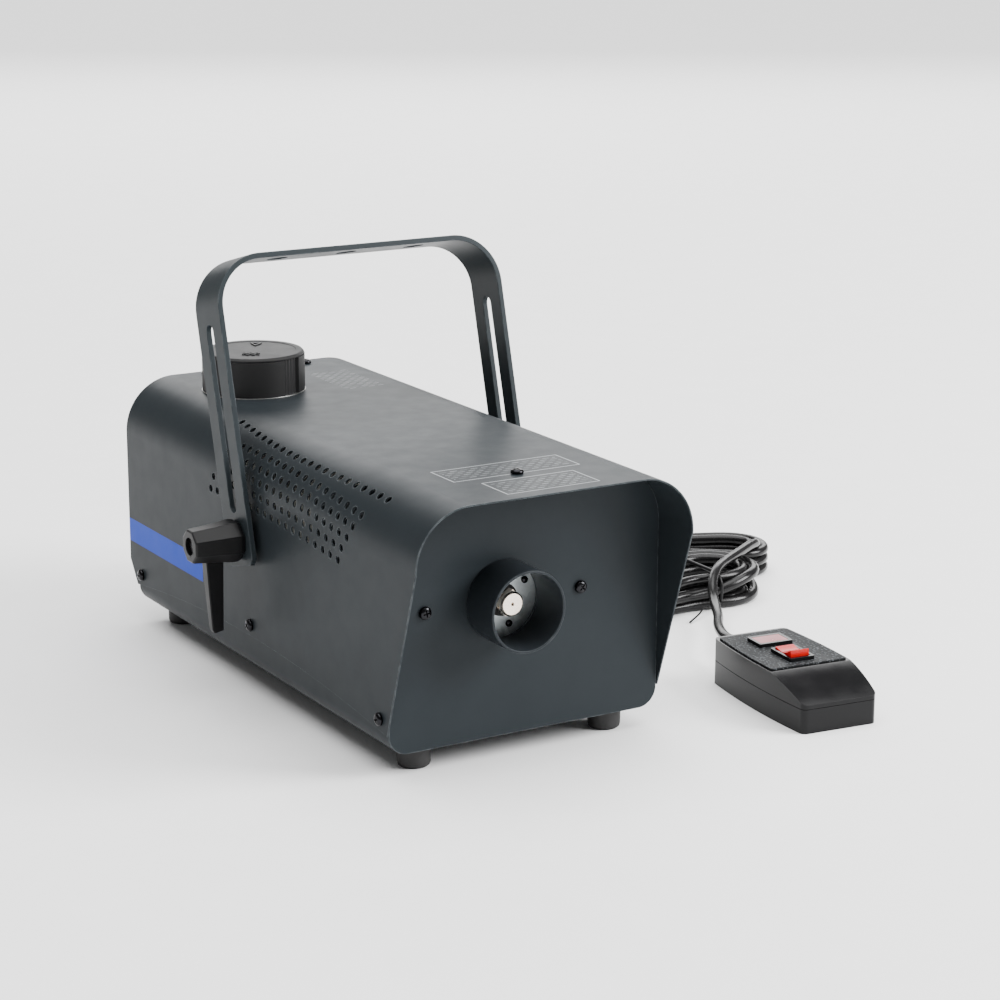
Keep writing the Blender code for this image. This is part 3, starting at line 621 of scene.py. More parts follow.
REMOTE_FRONT_ROUTE = [
    (0.17665, -0.0936, 0.016),
    (0.178, -0.086, 0.0159),
    (0.1836, -0.0735, 0.0153),
    (0.1918, -0.06, 0.0143),
    (0.2012, -0.047, 0.0135),
    (0.2098, -0.033, 0.0135),
    (0.2166, -0.021, 0.015),
    (0.2215, -0.0125, 0.0181),
    (0.227, -0.005, 0.022),
    (0.236, 0.0035, 0.0252),
    (0.25, 0.0145, 0.0252),
    (0.272, 0.029, 0.025),
    (0.288, 0.04, 0.0245),
    (0.298, 0.048, 0.0222),
]
REMOTE_REAR_ROUTE = [
    (0.2328, 0.1312, 0.003),
    (0.222, 0.1385, 0.003),
    (0.212, 0.15, 0.003),
    (0.206, 0.168, 0.003),
    (0.199, 0.19, 0.003),
    (0.179, 0.214, 0.003),
    (0.15, 0.229, 0.003),
    (0.115, 0.238, 0.003),
    (0.075, 0.243, 0.0032),
    (0.04, 0.245, 0.005),
    (0.012, 0.243, 0.014),
    (-0.008, 0.235, 0.027),
    (-0.017, 0.2245, 0.037),
    (-0.0199, 0.212, 0.0418),
    (-0.02, 0.2042, 0.042),
]
MAINS_REAR_ROUTE = [
    (0.055, 0.1879, 0.038),
    (0.0551, 0.1945, 0.0377),
    (0.057, 0.205, 0.0325),
    (0.062, 0.214, 0.0235),
    (0.0705, 0.22, 0.0138),
    (0.082, 0.2215, 0.007),
    (0.096, 0.2165, 0.004),
    (0.108, 0.205, 0.0035),
    (0.118, 0.188, 0.0035),
    (0.124, 0.168, 0.0035),
    (0.127, 0.145, 0.0035),
    (0.1275, 0.115, 0.0035),
    (0.128, 0.09, 0.0035),
    (0.133, 0.071, 0.0035),
    (0.145, 0.0585, 0.0035),
    (0.16, 0.055, 0.0035),
]
MAINS_PLUG_ROUTE = [
    (0.16, 0.0045, 0.0035),
    (0.148, 0.0045, 0.0037),
    (0.135, 0.0035, 0.005),
    (0.1225, 0.0, 0.0085),
    (0.113, -0.006, 0.0135),
    (0.1068, -0.014, 0.0175),
    (0.1051, -0.0215, 0.019),
    (0.105, -0.026, 0.019),
]
PLUG_AT = (0.105, -0.0265, 0.019)
# Each hank's middle and turn on the floor, its length, cable and hand, and where along it its tie sits
REMOTE_HANK = {
    "at": (0.266, 0.087),
    "turn": -29.9,
    "length": 0.115,
    "cable": REMOTE_CABLE,
    "way": 1,
    "tie": 0.004,
}
MAINS_HANK = {
    "at": (0.217, 0.0297),
    "turn": 0,
    "length": 0.126,
    "cable": MAINS_CABLE,
    "way": -1,
    "tie": 0.02,
}
HANK_WIDTH = 8.2  # in cable diameters
PINCH = 0.4  # how far the tie draws each strand in, in cable diameters
INNER = 3.0  # radii of the two rings of turns at the hank's ends, in cable diameters
OUTER = 4.0
LEAVING = 3.6  # where a strand joins or leaves the hank
STEP = 0.07  # half the share of a turn in which a strand moves over by one place


def hank_half(hank):
    """Half the length of the straight part of a hank."""
    return hank["length"] / 2 - (HANK_WIDTH / 2 + PINCH) * hank["cable"]


def loop_share(hank):
    """The share of a turn that the loop at one end takes."""
    loop = pi * 3.5 * hank["cable"]
    return loop / (2 * loop + 4 * hank_half(hank))


def on_floor(hank, x, y, z):
    """A point given along and across a hank, in the machine's frame."""
    turn = radians(hank["turn"])
    middle_x, middle_y = hank["at"]
    return (middle_x + x * cos(turn) - y * sin(turn), middle_y + x * sin(turn) + y * cos(turn), z)


def hank_point(hank, phase, radius, layer):
    """A place on the hank: phase counts turns from the front of its right-hand loop."""
    cable = hank["cable"]
    half = hank_half(hank)
    share = loop_share(hank)
    part = phase % 1.0
    side = 1
    if part >= 0.5:
        part -= 0.5
        side = -1
    if part < share:
        angle = radians(-90 + 180 * part / share)
        x = half + radius * cable * cos(angle)
        y = radius * cable * sin(angle)
    else:
        x = half - 2 * half * (part - share) / (0.5 - share)
        y = (radius - PINCH * cos(pi * x / (2 * half)) ** 2) * cable
    return on_floor(hank, x * side, y * side * hank["way"], (layer + 0.5) * cable)


def hank_route(hank, start, end, first, moves):
    """The strand from start to end, in turns, which takes a new ring and layer at each move."""
    steps = round((end - start) * 30)
    route = []
    for i in range(steps + 1):
        phase = start + (end - start) * i / steps
        radius, layer = first
        for middle, reach, new_radius, new_layer in moves:
            t = min(1, max(0, (phase - middle + reach) / (2 * reach)))
            t = t * t * (3 - 2 * t)
            radius += (new_radius - radius) * t
            layer += (new_layer - layer) * t
        route.append(hank_point(hank, phase, radius, layer))
    return route


def moves_every_turn(first_move, places):
    """Each move comes a little earlier in its turn than the one before, so strands never meet."""
    return [(first_move + (1 - 2 * STEP) * i, STEP, *place) for i, place in enumerate(places)]


def make_cord(name, hank, before, after, start, first, moves, nodes):
    """A cable along one route, through the turns of its hank, and along another route."""
    turns = hank_route(hank, start, 5.5, first, [*moves, (5.36, 0.13, LEAVING, 0)])
    cord = wire(name, before + turns + after, hank["cable"] / 2, hank["cable"] * 0.8)
    return place(cord, CABLE, nodes=nodes)


def make_cables():
    start = 0.5 + loop_share(MAINS_HANK)
    places = [(INNER, 0), (INNER, 1), (INNER, 2), (OUTER, 2), (OUTER, 1), (OUTER, 0)]
    moves = moves_every_turn(start + STEP, places)
    nodes = ("mains_cord_rear", "mains_hank", "mains_cord_plug")
    ends = (MAINS_REAR_ROUTE, MAINS_PLUG_ROUTE)
    mains = make_cord("mains_cord", MAINS_HANK, *ends, start, (LEAVING, 0), moves, nodes)

    moves = moves_every_turn(1.03, [(OUTER, 2), (OUTER, 1), (INNER, 1), (INNER, 0), (OUTER, 0)])
    nodes = ("remote_cord_front", "remote_hank", "remote_cord_rear")
    ends = (REMOTE_FRONT_ROUTE, REMOTE_REAR_ROUTE)
    remote = make_cord("remote_cord", REMOTE_HANK, *ends, 0.16, (INNER, 2), moves, nodes)
    return mains, remote


def make_ties():
    half = 0.0012
    for name, hank in (("mains_tie", MAINS_HANK), ("remote_tie", REMOTE_HANK)):
        cable = hank["cable"]
        y = HANK_WIDTH / 2 * cable + half
        outline = rounded((-y, half), (y, 3 * cable + half), 1.2 * cable, 5)
        ring = [on_floor(hank, hank["tie"], v, z) for v, z in outline]
        place(wire(name, [*ring, ring[0]], half, 0.0012, sides=3), BLACK_PLASTIC)
    x = MAINS_HANK["at"][0] + MAINS_HANK["tie"]
    y = MAINS_HANK["at"][1] - HANK_WIDTH / 2 * MAINS_CABLE - half
    twist = []
    for i in range(25):
        angle = radians(60 * i)
        run = 0.0007 * i
        side = y - 0.0008 - 0.25 * run + 0.0006 * sin(angle)
        twist.append((x - run, side, 0.0045 + 0.0006 * cos(angle)))
    end = twist[-1]
    tail = [(end[0] - 0.006, end[1] - 0.004, 0.003), (end[0] - 0.017, end[1] - 0.01, 0.001)]
    place(wire("mains_tie_twist", twist + tail, 0.0006, 0.0008, sides=3), BLACK_PLASTIC)


mains_cord, remote_cord = make_cables()
make_ties()


# Case


def arch_height(y):
    return HOOD_LOW + ARCH * (1 - (y / PANEL_Y) ** 2)


SIDE_SCREWS = [(y, arch_height(y) + 0.0065) for y in (-0.15, 0.0, 0.15)]
FRONT_SCREW_X = (-0.0604, 0.0324)
TOP_SCREWS = [(0.0015, -0.1444), (-0.033, 0.1577), (0.033, 0.1577)]

# The vent holes: rows that follow the hood's arched lower edge, each with its distance along the sheet
# from the start of the bend and its first y, and one row along the top of the bend.
VENT_RADIUS = 0.0022
VENT_ROWS = [
    (0.0122, -0.1247),
    (0.00475, -0.1201),
    (-0.0026, -0.1156),
    (-0.01015, -0.1097),
    (-0.0177, -0.1057),
]
VENT_PITCH = 0.00855
VENT_COUNT = 19
TOP_VENT_START = -0.1372
TOP_VENT_PITCH = 0.00861
TOP_VENT_COUNT = 22
TOP_VENT_ALONG = 0.0294
MIRROR = Vector((-1, 1, 1))


def on_side(along, y):
    """A point of the hood's left side and its outward direction, along the sheet from its bend."""
    if along < 0:
        return Vector((-HALF_WIDTH, y, BEND_Z + along)), Vector((-1, 0, 0))
    angle = along / TOP_RADIUS
    out = Vector((-cos(angle), 0, sin(angle)))
    return Vector((-BEND_X, y, BEND_Z)) + out * TOP_RADIUS, out


def vent_axes():
    spots = []
    for offset, start in VENT_ROWS:
        for i in range(VENT_COUNT):
            y = start + i * VENT_PITCH
            spots.append((arch_height(y) - HOOD_LOW + offset, y))
    for i in range(TOP_VENT_COUNT):
        y = TOP_VENT_START + i * TOP_VENT_PITCH
        spots.append((TOP_VENT_ALONG + 0.7 * max(0.0, y + 0.05) ** 2, y))
    axes = []
    for along, y in spots:
        point, out = on_side(along, y)
        axes += [(point, out), (point * MIRROR, out * MIRROR)]
    return axes


def hood_direction(point):
    """Which way the hood's skin faces at a point."""
    side = 1 if point.x > 0 else -1
    if point.z < BEND_Z:
        return Vector((side, 0, 0))
    if abs(point.x) < BEND_X:
        return Vector((0, 0, 1))
    return Vector((side * (abs(point.x) - BEND_X), 0, point.z - BEND_Z)).normalized()


def shade_as_bent(obj):
    """Gives the skin the shading of the true bend, whatever facets the vent holes left in it."""
    mesh = obj.data
    mesh.shade_smooth()
    normals = [Vector((0, 0, 1))] * len(mesh.loops)
    for polygon in mesh.polygons:
        for index in polygon.loop_indices:
            facing = hood_direction(mesh.vertices[mesh.loops[index].vertex_index].co)
            match = polygon.normal.dot(facing)
            normals[index] = facing if match > 0.8 else -facing if match < -0.8 else polygon.normal.copy()
    mesh.normals_split_custom_set(normals)


def make_hood():
    bends = [
        *arc((-BEND_X, BEND_Z), TOP_RADIUS, 180, 90, 28),
        *arc((BEND_X, BEND_Z), TOP_RADIUS, 90, 0, 28),
    ]
    path = [(-HALF_WIDTH, PAN_BOTTOM), *bends, (HALF_WIDTH, PAN_BOTTOM)]
    middle = (VISOR_Y + TAIL_Y) / 2
    hood = folded("vented_hood", path, (TAIL_Y - VISOR_Y) / 2 + 0.01, SHEET, middle)
    arch = [(y * PANEL_Y / 24, arch_height(y * PANEL_Y / 24)) for y in range(-24, 25)]
    side = [*arch, (TAIL_Y, TAIL_KNEE), (TAIL_Y, TOP + 0.02), (VISOR_Y, TOP + 0.02), (VISOR_Y, VISOR_KNEE)]
    combine(hood, slab("hood_side", [side], -0.1, 0.1, "X"), operation="INTERSECT")
    bevelled(hood, 0.0003, 2, 50)
    sideways = [((x, 0, PIVOT_Z), (1, 0, 0)) for x in (-HALF_WIDTH, HALF_WIDTH)]
    combine(
        hood,
        pegs("vents", vent_axes(), VENT_RADIUS, 0.008, 16),
        pegs("neck_hole", [((*CAP_AT, TOP), (0, 0, 1))], 0.0225, 0.02, 48),
        pegs("stud_holes", sideways, 0.0043, 0.008, 24),
    )
    shade_as_bent(hood)
    place(hood, HOOD_PAINT, nodes=("hood",))


def make_liners():
    """Galvanised deflectors close behind the front vents, which keep the heat off the hood."""
    skin = TOP_RADIUS - SHEET - 0.0012
    for name, side in SIDES:
        path = [(-BEND_X - skin, 0.088), *arc((-BEND_X, BEND_Z), skin, 180, 132, 12), (-0.062, 0.1335)]
        path = [(-side * x, z) for x, z in path]
        liner = folded(f"vent_liner_{name}", path if side < 0 else path[::-1], 0.031, 0.0007, -0.104)
        place(soften(liner, 0.0001, 1), ZINC)


def case_outline(half, top, top_radius, bottom, bottom_radius):
    return [
        *arc((half - top_radius, top - top_radius), top_radius, 0, 90, 28),
        *arc((top_radius - half, top - top_radius), top_radius, 90, 180, 28),
        *arc((bottom_radius - half, bottom + bottom_radius), bottom_radius, 180, 270, 16),
        *arc((half - bottom_radius, bottom + bottom_radius), bottom_radius, 270, 360, 16),
    ]


PAN_RADIUS = 0.0108
PAN_TOP = 0.05
PAN_HALF = HALF_WIDTH - SHEET - GAP
REAR_FITTINGS = {
    "mains": (0.055, 0.038, 0.005),
    "fuse": (0.022, 0.038, 0.005),
    "remote": (-0.02, 0.042, 0.006),
}


def make_panels():
    outline = case_outline(PAN_HALF, TOP - SHEET - GAP, TOP_RADIUS - SHEET - GAP, PAN_BOTTOM, PAN_RADIUS)
    axis = (NOZZLE_X, NOZZLE_Z)
    hole = circle(axis, TUBE_RADIUS - TUBE_WALL, 64)
    front = slab("front_plate", [outline, hole], -PANEL_Y, SHEET - PANEL_Y, "Y")
    place(soften(front, 0.00025), PAINT, nodes=("front_panel",))
    rear_holes = [circle((x, z), radius, 24) for x, z, radius in REAR_FITTINGS.values()]
    rear = slab("rear_plate", [outline, *rear_holes], PANEL_Y - SHEET, PANEL_Y, "Y")
    place(soften(rear, 0.00025), PAINT, nodes=("rear_panel",))
    pan_path = [
        (PAN_HALF, PAN_TOP),
        *arc((PAN_HALF - PAN_RADIUS, PAN_BOTTOM + PAN_RADIUS), PAN_RADIUS, 0, -90, 16),
        *arc((PAN_RADIUS - PAN_HALF, PAN_BOTTOM + PAN_RADIUS), PAN_RADIUS, 270, 180, 16),
        (-PAN_HALF, PAN_TOP),
    ]
    pan = folded("folded_pan", pan_path, PANEL_Y - SHEET - GAP, SHEET)
    place(soften(pan, 0.0002), PAINT, nodes=("base_pan",))


def screw_mesh():
    """A pan-head screw with a cross recess, standing on z = 0."""
    head = [(0, 0.00262)]
    for i in range(1, 9):
        angle = radians(90 - 90 * i / 8)
        head.append((0.0035 * cos(angle) ** 0.72, 0.0008 + 0.00182 * sin(angle)))
    stem = [(0.0034, GAP), (0.0016, GAP), (0.0016, -0.0009), (0, -0.0009)]
    screw = turned("screw_head", head + stem, 32)
    width = 0.00038
    bars = [
        block("recess_long", (-0.0019, -width, 0.0012), (0.0019, width, 0.004)),
        block("recess_wide", (-width, -0.0019, 0.0012), (width, 0.0019, 0.004)),
    ]
    return soften(combine(screw, *bars), 0.00008, 2, 30)


def make_screws():
    pattern = screw_mesh()
    spots = []
    for name, x in zip(("left", "right"), FRONT_SCREW_X):
        spots.append((f"front_screw_{name}", moved(x, -PANEL_Y, NOZZLE_Z) @ FORWARD))
    for name, (x, y) in zip(("front", "rear_left", "rear_right"), TOP_SCREWS):
        spots.append((f"top_screw_{name}", moved(x, y, TOP)))
    for name, sign in SIDES:
        sideways = spun("Y", sign * 90)
        for spot, (y, z) in zip(("front", "middle", "rear"), SIDE_SCREWS):
            at = moved(sign * HALF_WIDTH, y, z) @ sideways
            spots.append((f"side_screw_{name}_{spot}", at))
    for i, (node, at) in enumerate(spots):
        turn = spun("Z", 37 * i + 12)
        screw = new_object(node + "_head", pattern.data.copy())
        place(screw, BLACK_STEEL, at=MACHINE @ at @ turn, nodes=(node,))
    bpy.data.objects.remove(pattern, do_unlink=True)


def make_feet():
    top = PAN_BOTTOM - GAP
    profile = [(0, top), (0.0087, top), (0.009, top - 0.0006), (0.0088, 0.0022)]
    profile += [(0.0084, 0.0008), (0.0076, 0.0001), (0.007, 0), (0.0042, 0), (0.004, 0.002), (0, 0.002)]
    for side, x in (("left", -0.0585), ("right", 0.0585)):
        for end, y in (("front", -0.1418), ("rear", 0.1454)):
            foot = turned(f"rubber_foot_{end}_{side}", profile, 40)
            at = MACHINE @ moved(x, y, 0)
            place(soften(foot, 0), FOOT_RUBBER, at=at, nodes=(f"foot_{end}_{side}",))


# Nozzle


def make_nozzle():
    outer, inner = TUBE_RADIUS, TUBE_RADIUS - TUBE_WALL
    ring = [(outer, TUBE_LENGTH), (outer, 0), (inner, 0), (inner, TUBE_LENGTH)]
    tube = soften(turned("fog_tube", ring, 96, hollow=True), 0.0005, 3)
    at = MACHINE @ moved(NOZZLE_X, -PANEL_Y - GAP, NOZZLE_Z) @ FORWARD
    # the tube takes the darker copy of the paint, its painted shade
    place(tube, SHADED_TUBE_PAINT, at=at, nodes=("nozzle_tube",))

    on_axis = MACHINE @ moved(NOZZLE_X, 0, NOZZLE_Z) @ FORWARD
    face = 0.1672
    plate_front = PANEL_Y - SHEET - GAP
    profile = [(0, face - 0.004), (0.0005, face - 0.004), (0.0005, face - 0.0004), (0.0009, face)]
    profile += [(0.0057, face), (0.0066, face - 0.0009), (0.0066, face - 0.003), (0.0045, face - 0.0032)]
    profile += [(0.0045, 0.138), (0, 0.138)]
    tip = soften(turned("nozzle_tip", profile, 64), 0.00015, 2, 30)
    place(tip, NICKEL, at=on_axis, nodes=("nozzle",))
    corners = arc((0, 0), 0.0071, 12, 312, 5)
    nut = slab("nozzle_nut", [corners, circle((0, 0), 0.0048)], plate_front + 0.0016, face - 0.0034)
    place(soften(nut, 0.0004), NICKEL, at=on_axis)
    # painted shade: a dark rubber ring behind the nut stands in for the dark gap and shadow round the nozzle
    shade_ring = [(0.0088, plate_front + 0.0012), (0.0088, plate_front + 0.0002)]
    shade_ring += [(0.0048, plate_front + 0.0002), (0.0048, plate_front + 0.0012)]
    place(soften(turned("nozzle_shade_ring", shade_ring, 48, hollow=True), 0.0002), FOOT_RUBBER, at=on_axis)
    head = [(0, 0.0016), (0.0012, 0.0016), (0.0018, 0.0012), (0.0019, 0.0002), (0, 0.0002)]
    for i, (x, z) in enumerate(((0.0135, 0.0085), (0.0042, -0.0135), (-0.0085, -0.01), (-0.0135, 0.0085))):
        spot = MACHINE @ moved(NOZZLE_X + x, -plate_front, NOZZLE_Z + z) @ FORWARD
        place(soften(turned(f"plate_screw_{i}", head, 24), 0.0002), BLACK_STEEL, at=spot)


# Tank cap


def cap_outline(scale=1.0):
    """Four broad smooth lobes, and between them shallow recesses with fine ribs."""
    outline = []
    steps = 360
    for i in range(steps):
        angle = 360 * i / steps
        off = abs((angle + 67) % 90 - 45)
        into = min(1, max(0, (off - 33) / 1.5))
        rib = 0.00035 * (0.5 + 0.5 * cos(radians(angle * 72))) * into
        radius = (CAP_RADIUS - 0.0018 * into + rib) * scale
        outline.append((radius * cos(radians(angle)), radius * sin(radians(angle))))
    return outline


def make_cap():
    height = CAP_TOP - CAP_BOTTOM
    at = MACHINE @ moved(*CAP_AT, CAP_BOTTOM)
    skirt = slab("cap_skirt", [cap_outline()], 0, height - 0.0022)
    combine(skirt, pegs("cap_inside", [((0, 0, 0.004), (0, 0, 1))], 0.0214, 0.0205, 48))
    place(soften(skirt, 0.0003, 2, 50), CAP_PLASTIC, "tank_cap", at, ("tank_cap",))
    rim = CAP_RADIUS - 0.0004
    lid = [(0, height - 0.0004), (rim - 0.005, height - 0.0004), (rim - 0.0044, height)]
    lid += [(rim - 0.0012, height), (rim, height - 0.0012), (rim, height - 0.0019)]
    lid += [(rim - 0.001, height - 0.0022), (0, height - 0.0022)]
    place(soften(turned("cap_lid", lid, 96), 0.0001, 1, 30), CAP_PLASTIC, "tank_cap", at)
    arrow = [(0.0, 0.011), (-0.0034, 0.0185), (0.0034, 0.0185)]
    arrow_hole = [(0.0, 0.0129), (-0.0022, 0.0177), (0.0022, 0.0177)]
    low = height - 0.0005
    turn = at @ spun("Z", -31)
    mark = soften(slab("cap_arrow", [arrow, arrow_hole], low, height + 0.0004), 0.0001, 1)
    place(mark, CAP_MARK, "tank_cap", turn)
    for i, along in enumerate((-0.015, -0.0118)):
        swell = [(0.0006 * (j - 8), along + 0.0009 * sin(j * 1.05), height) for j in range(17)]
        place(wire(f"cap_wave_{i}", swell, 0.00045, 0.0004, sides=3), CAP_MARK, "tank_cap", turn)
    collar = [(0.0304, TOP + 0.0004), (0.0304, TOP), (0.0215, TOP), (0.0215, TOP + 0.0004)]
    ring = MACHINE @ moved(*CAP_AT, 0)
    place(soften(turned("neck_collar", collar, 96, hollow=True), 0.0001, 1), STUD_STEEL, at=ring)


# Yoke


def make_yoke():
    bends = [
        *arc((YOKE_RADIUS - YOKE_HALF, YOKE_TOP - YOKE_RADIUS), YOKE_RADIUS, 180, 90, 28),
        *arc((YOKE_HALF - YOKE_RADIUS, YOKE_TOP - YOKE_RADIUS), YOKE_RADIUS, 90, 0, 28),
    ]
    path = [(-YOKE_HALF, -0.02), *bends, (YOKE_HALF, -0.02)]
    yoke = folded("bent_yoke", path, STRAP_WIDTH / 2, STRAP)
    half = STRAP_WIDTH / 2
    clip = 0.0035
    wide = half + 0.01
    shoulder = clip + 0.01 - YOKE_TAIL
    side = [(-wide, 0.2), (-wide, shoulder), (clip - half, -YOKE_TAIL)]
    side += [(half - clip, -YOKE_TAIL), (wide, shoulder), (wide, 0.2)]
    combine(yoke, slab("leg_ends", [side], -0.1, 0.1, "X"), operation="INTERSECT")
    slot = [*arc((0, 0.11375), 0.00425, 0, 180, 20), *arc((0, 0.01905), 0.00425, 180, 360, 20)]
    up = [((x, 0, YOKE_TOP), (0, 0, 1)) for x in (-0.043, 0, 0.043)]
    combine(
        yoke,
        slab("leg_slots", [slot], -0.1, 0.1, "X"),
        pegs("pivot_holes", [((0, 0, 0), (1, 0, 0))], 0.00425, 0.2, 32),
        pegs("strap_holes", up, 0.006, 0.02, 40),
    )
    place(soften(yoke, 0.0005, 3, 50), YOKE_PAINT, "yoke", YOKE, ("yoke",))


def lever_arm(sign):
    """A bar that narrows from the hub to its slanting tip, pointing straight down."""
    root = 0.0036
    outline = [(0.11, -0.004), (0.1064, -0.0485), (0.1052, -LEVER_REACH + 0.0002)]
    outline += [(0.0997, -LEVER_REACH + 0.0014), (0.0995, -0.004)]
    arm = slab("lever_arm", [[(sign * x, z) for x, z in outline]], -root, root, "Y")
    for vertex in arm.data.vertices:
        vertex.co.y *= 1 + 0.4 * (vertex.co.z + 0.004) / (LEVER_REACH - 0.004)
    return soften(arm, 0.0006, 3)


def lever_hub(name, sign):
    """A tapered hub with eight flats, recessed for its bolt."""
    sides = 8
    profile = [(0, HUB_OUT), (0.009, HUB_OUT), (0.0097, HUB_OUT - 0.0007), (0.0108, 0.1035)]
    profile += [(0.012, 0.095), (0.012, 0.0915), (0.0112, HUB_IN), (0, HUB_IN)]
    hub = turned(name, profile, sides)
    hub.data.transform(spun("Z", 180 / sides))
    hub.data.transform(spun("Y", sign * 90))
    return soften(hub, 0.0007, 3, 20)


def make_levers():
    washer = [(0.009, 0.0858), (0.009, 0.0829), (0.0043, 0.0829), (0.0043, 0.0858)]
    for name, sign in SIDES:
        outwards = spun("Y", sign * 90)
        at = MACHINE @ moved(0, 0, PIVOT_Z)
        lever = combine(lever_hub(f"lever_hub_{name}", sign), lever_arm(sign), operation="UNION")
        recess = pegs("bolt_recess", [((sign * 0.1215, 0, 0), (1, 0, 0))], 0.005, 0.02, 40)
        bore = pegs("stud_bore", [((sign * 0.0875, 0, 0), (1, 0, 0))], 0.0042, 0.02, 40)
        combine(lever, recess, bore)
        body = f"clamp_lever_{name}"
        place(soften(lever, 0.0002, 2, 40), BLACK_PLASTIC, body, at, (body,))
        bolt = [(0, 0.1162), (0.0036, 0.1162), (0.0042, 0.1155), (0.0042, 0.1118), (0, 0.1118)]
        head = soften(turned(f"lever_bolt_{name}", bolt, 40), 0.0001, 1)
        place(head, BLACK_STEEL, body, at @ outwards)
        disc = soften(turned(f"spacer_{name}", washer, 48, hollow=True), 0.0003)
        place(disc, BLACK_PLASTIC, at=at @ outwards, nodes=(f"pivot_washer_{name}",))


# Remote control


def barrel(low, high, radius, steps):
    """A rounded rectangle, in plan, whose long sides bulge by the remote's own curve."""
    corners = rounded(low, high, radius, steps)
    outline = []
    for (x, y), (next_x, next_y) in zip(corners, corners[1:] + corners[:1]):
        pieces = 20 if abs(next_y - y) > REMOTE_LENGTH / 3 else 1
        for i in range(pieces):
            along = y + (next_y - y) * i / pieces
            share = along / REMOTE_LENGTH
            bulge = 4 * REMOTE_BULGE * share * (1 - share) * (1 if x > REMOTE_WIDTH / 2 else -1)
            outline.append((x + (next_x - x) * i / pieces + bulge, along))
    return outline


def cover_slope():
    shares = [i / 24 for i in range(25)]
    rise = REMOTE_TOP - NOSE_TOP
    return [(t * NOSE_LENGTH, NOSE_TOP + t * rise + NOSE_BULGE * 4 * t * (1 - t)) for t in shares]


def make_remote():
    seam = REMOTE_SEAM - GAP / 2
    footprint = barrel((0, 0), (REMOTE_WIDTH, REMOTE_LENGTH), 0.003, 8)
    wall = REMOTE_WALL
    hollow = barrel((wall, wall), (REMOTE_WIDTH - wall, REMOTE_LENGTH - wall), 0.001, 4)
    base = slab("remote_tray", [footprint], 0, seam)
    combine(base, slab("tray_inside", [hollow], wall, seam + 0.01))
    place(soften(base, 0.0006, 3), REMOTE_PLASTIC, at=REMOTE, nodes=("remote_base",))

    low = REMOTE_SEAM + GAP / 2
    slope = cover_slope()
    end = REMOTE_LENGTH + 0.01
    outline = [*slope, (end, REMOTE_TOP), (end, 0.005), (-0.01, 0.005), (-0.01, NOSE_TOP)]
    inside = [(y, z - wall) for y, z in slope] + [(end, REMOTE_TOP - wall), (end, 0.005), (0, 0.005)]
    cover = slab("remote_lid", [footprint], low, 0.04)
    combine(cover, slab("lid_shape", [outline], -0.01, REMOTE_WIDTH + 0.01, "X"), operation="INTERSECT")
    core = slab("lid_inside", [hollow], low - 0.01, 0.03)
    combine(core, slab("lid_inside_shape", [inside], -0.01, REMOTE_WIDTH + 0.01, "X"), operation="INTERSECT")
    opening = around(ROCKER_AT, 0.0126, 0.0181, 0.0005)
    combine(cover, core, slab("lid_rocker_hole", [opening], 0.01, 0.04))
    place(soften(cover, 0.0005, 3, 30), REMOTE_PLASTIC, at=REMOTE, nodes=("remote_cover",))

    plate = barrel((0.0016, NOSE_LENGTH + 0.0008), (REMOTE_WIDTH - 0.0016, REMOTE_LENGTH - 0.004), 0.001, 4)
    label = slab("remote_plate", [plate, opening], REMOTE_TOP + 0.0001, LABEL_TOP)
    place(soften(label, 0.0002), LABEL, at=REMOTE, nodes=("remote_label",))

    bezel_top = LABEL_TOP + 0.0021
    rocker = [around(ROCKER_AT, 0.0158, 0.0213, 0.001), opening]
    lamp = [around(LAMP_AT, 0.0212, 0.015, 0.001), around(LAMP_AT, 0.0176, 0.0114, 0.0005)]
    for name, outlines in (("rocker", rocker), ("lamp", lamp)):
        surround = soften(slab(name + "_frame", outlines, LABEL_TOP, bezel_top), 0.0004, 3)
        place(surround, REMOTE_PLASTIC, at=REMOTE, nodes=(name + "_bezel",))
    lens = slab("lamp_window", [around(LAMP_AT, 0.0174, 0.0112, 0.0005)], LABEL_TOP, bezel_top - 0.0001)
    place(soften(lens, 0.0003), LAMP_RED, at=REMOTE, nodes=("lamp_lens",))

    half = [(0.0065, -0.0015), (0.0082, 0.0025), (0.0082, 0.0055), (0.006, 0.0048), (0.0035, 0.0039)]
    side = [(-0.0065, -0.0015), *half, (0, 0.0034), *[(-y, z) for y, z in half[:0:-1]]]
    key = slab("rocker_key", [side], -0.0059, 0.0059, "X")
    at = REMOTE @ moved(*ROCKER_AT, REMOTE_TOP - 0.0002) @ spun("X", ROCKER_TILT)
    place(soften(key, 0.0004, 3, 30), ROCKER_RED, "rocker", at, ("rocker",))


# Fittings on the cables


def ribbed(name, length, wide, narrow, cable, ribs, foot):
    """A tapered sleeve with rings moulded round it and a round foot at its wide end."""
    profile = [(cable * 0.52, length), (narrow, length - 0.0004)]
    pitch = (length - 0.006) / ribs
    for i in range(ribs):
        top = length - 0.0016 - pitch * i
        radius = narrow + (wide - narrow) * (i + 0.5) / ribs
        profile += [(radius, top), (radius, top - 0.58 * pitch), (radius - 0.0007, top - 0.64 * pitch)]
        profile += [(radius - 0.0007, top - 0.94 * pitch)]
    profile += [(wide, foot + 0.0004), (wide + 0.0016, foot), (wide + 0.0018, 0.0004), (wide + 0.0014, 0)]
    profile += [(cable * 0.52, 0)]
    return soften(turned(name, profile, 48, hollow=True), 0.00015, 1)


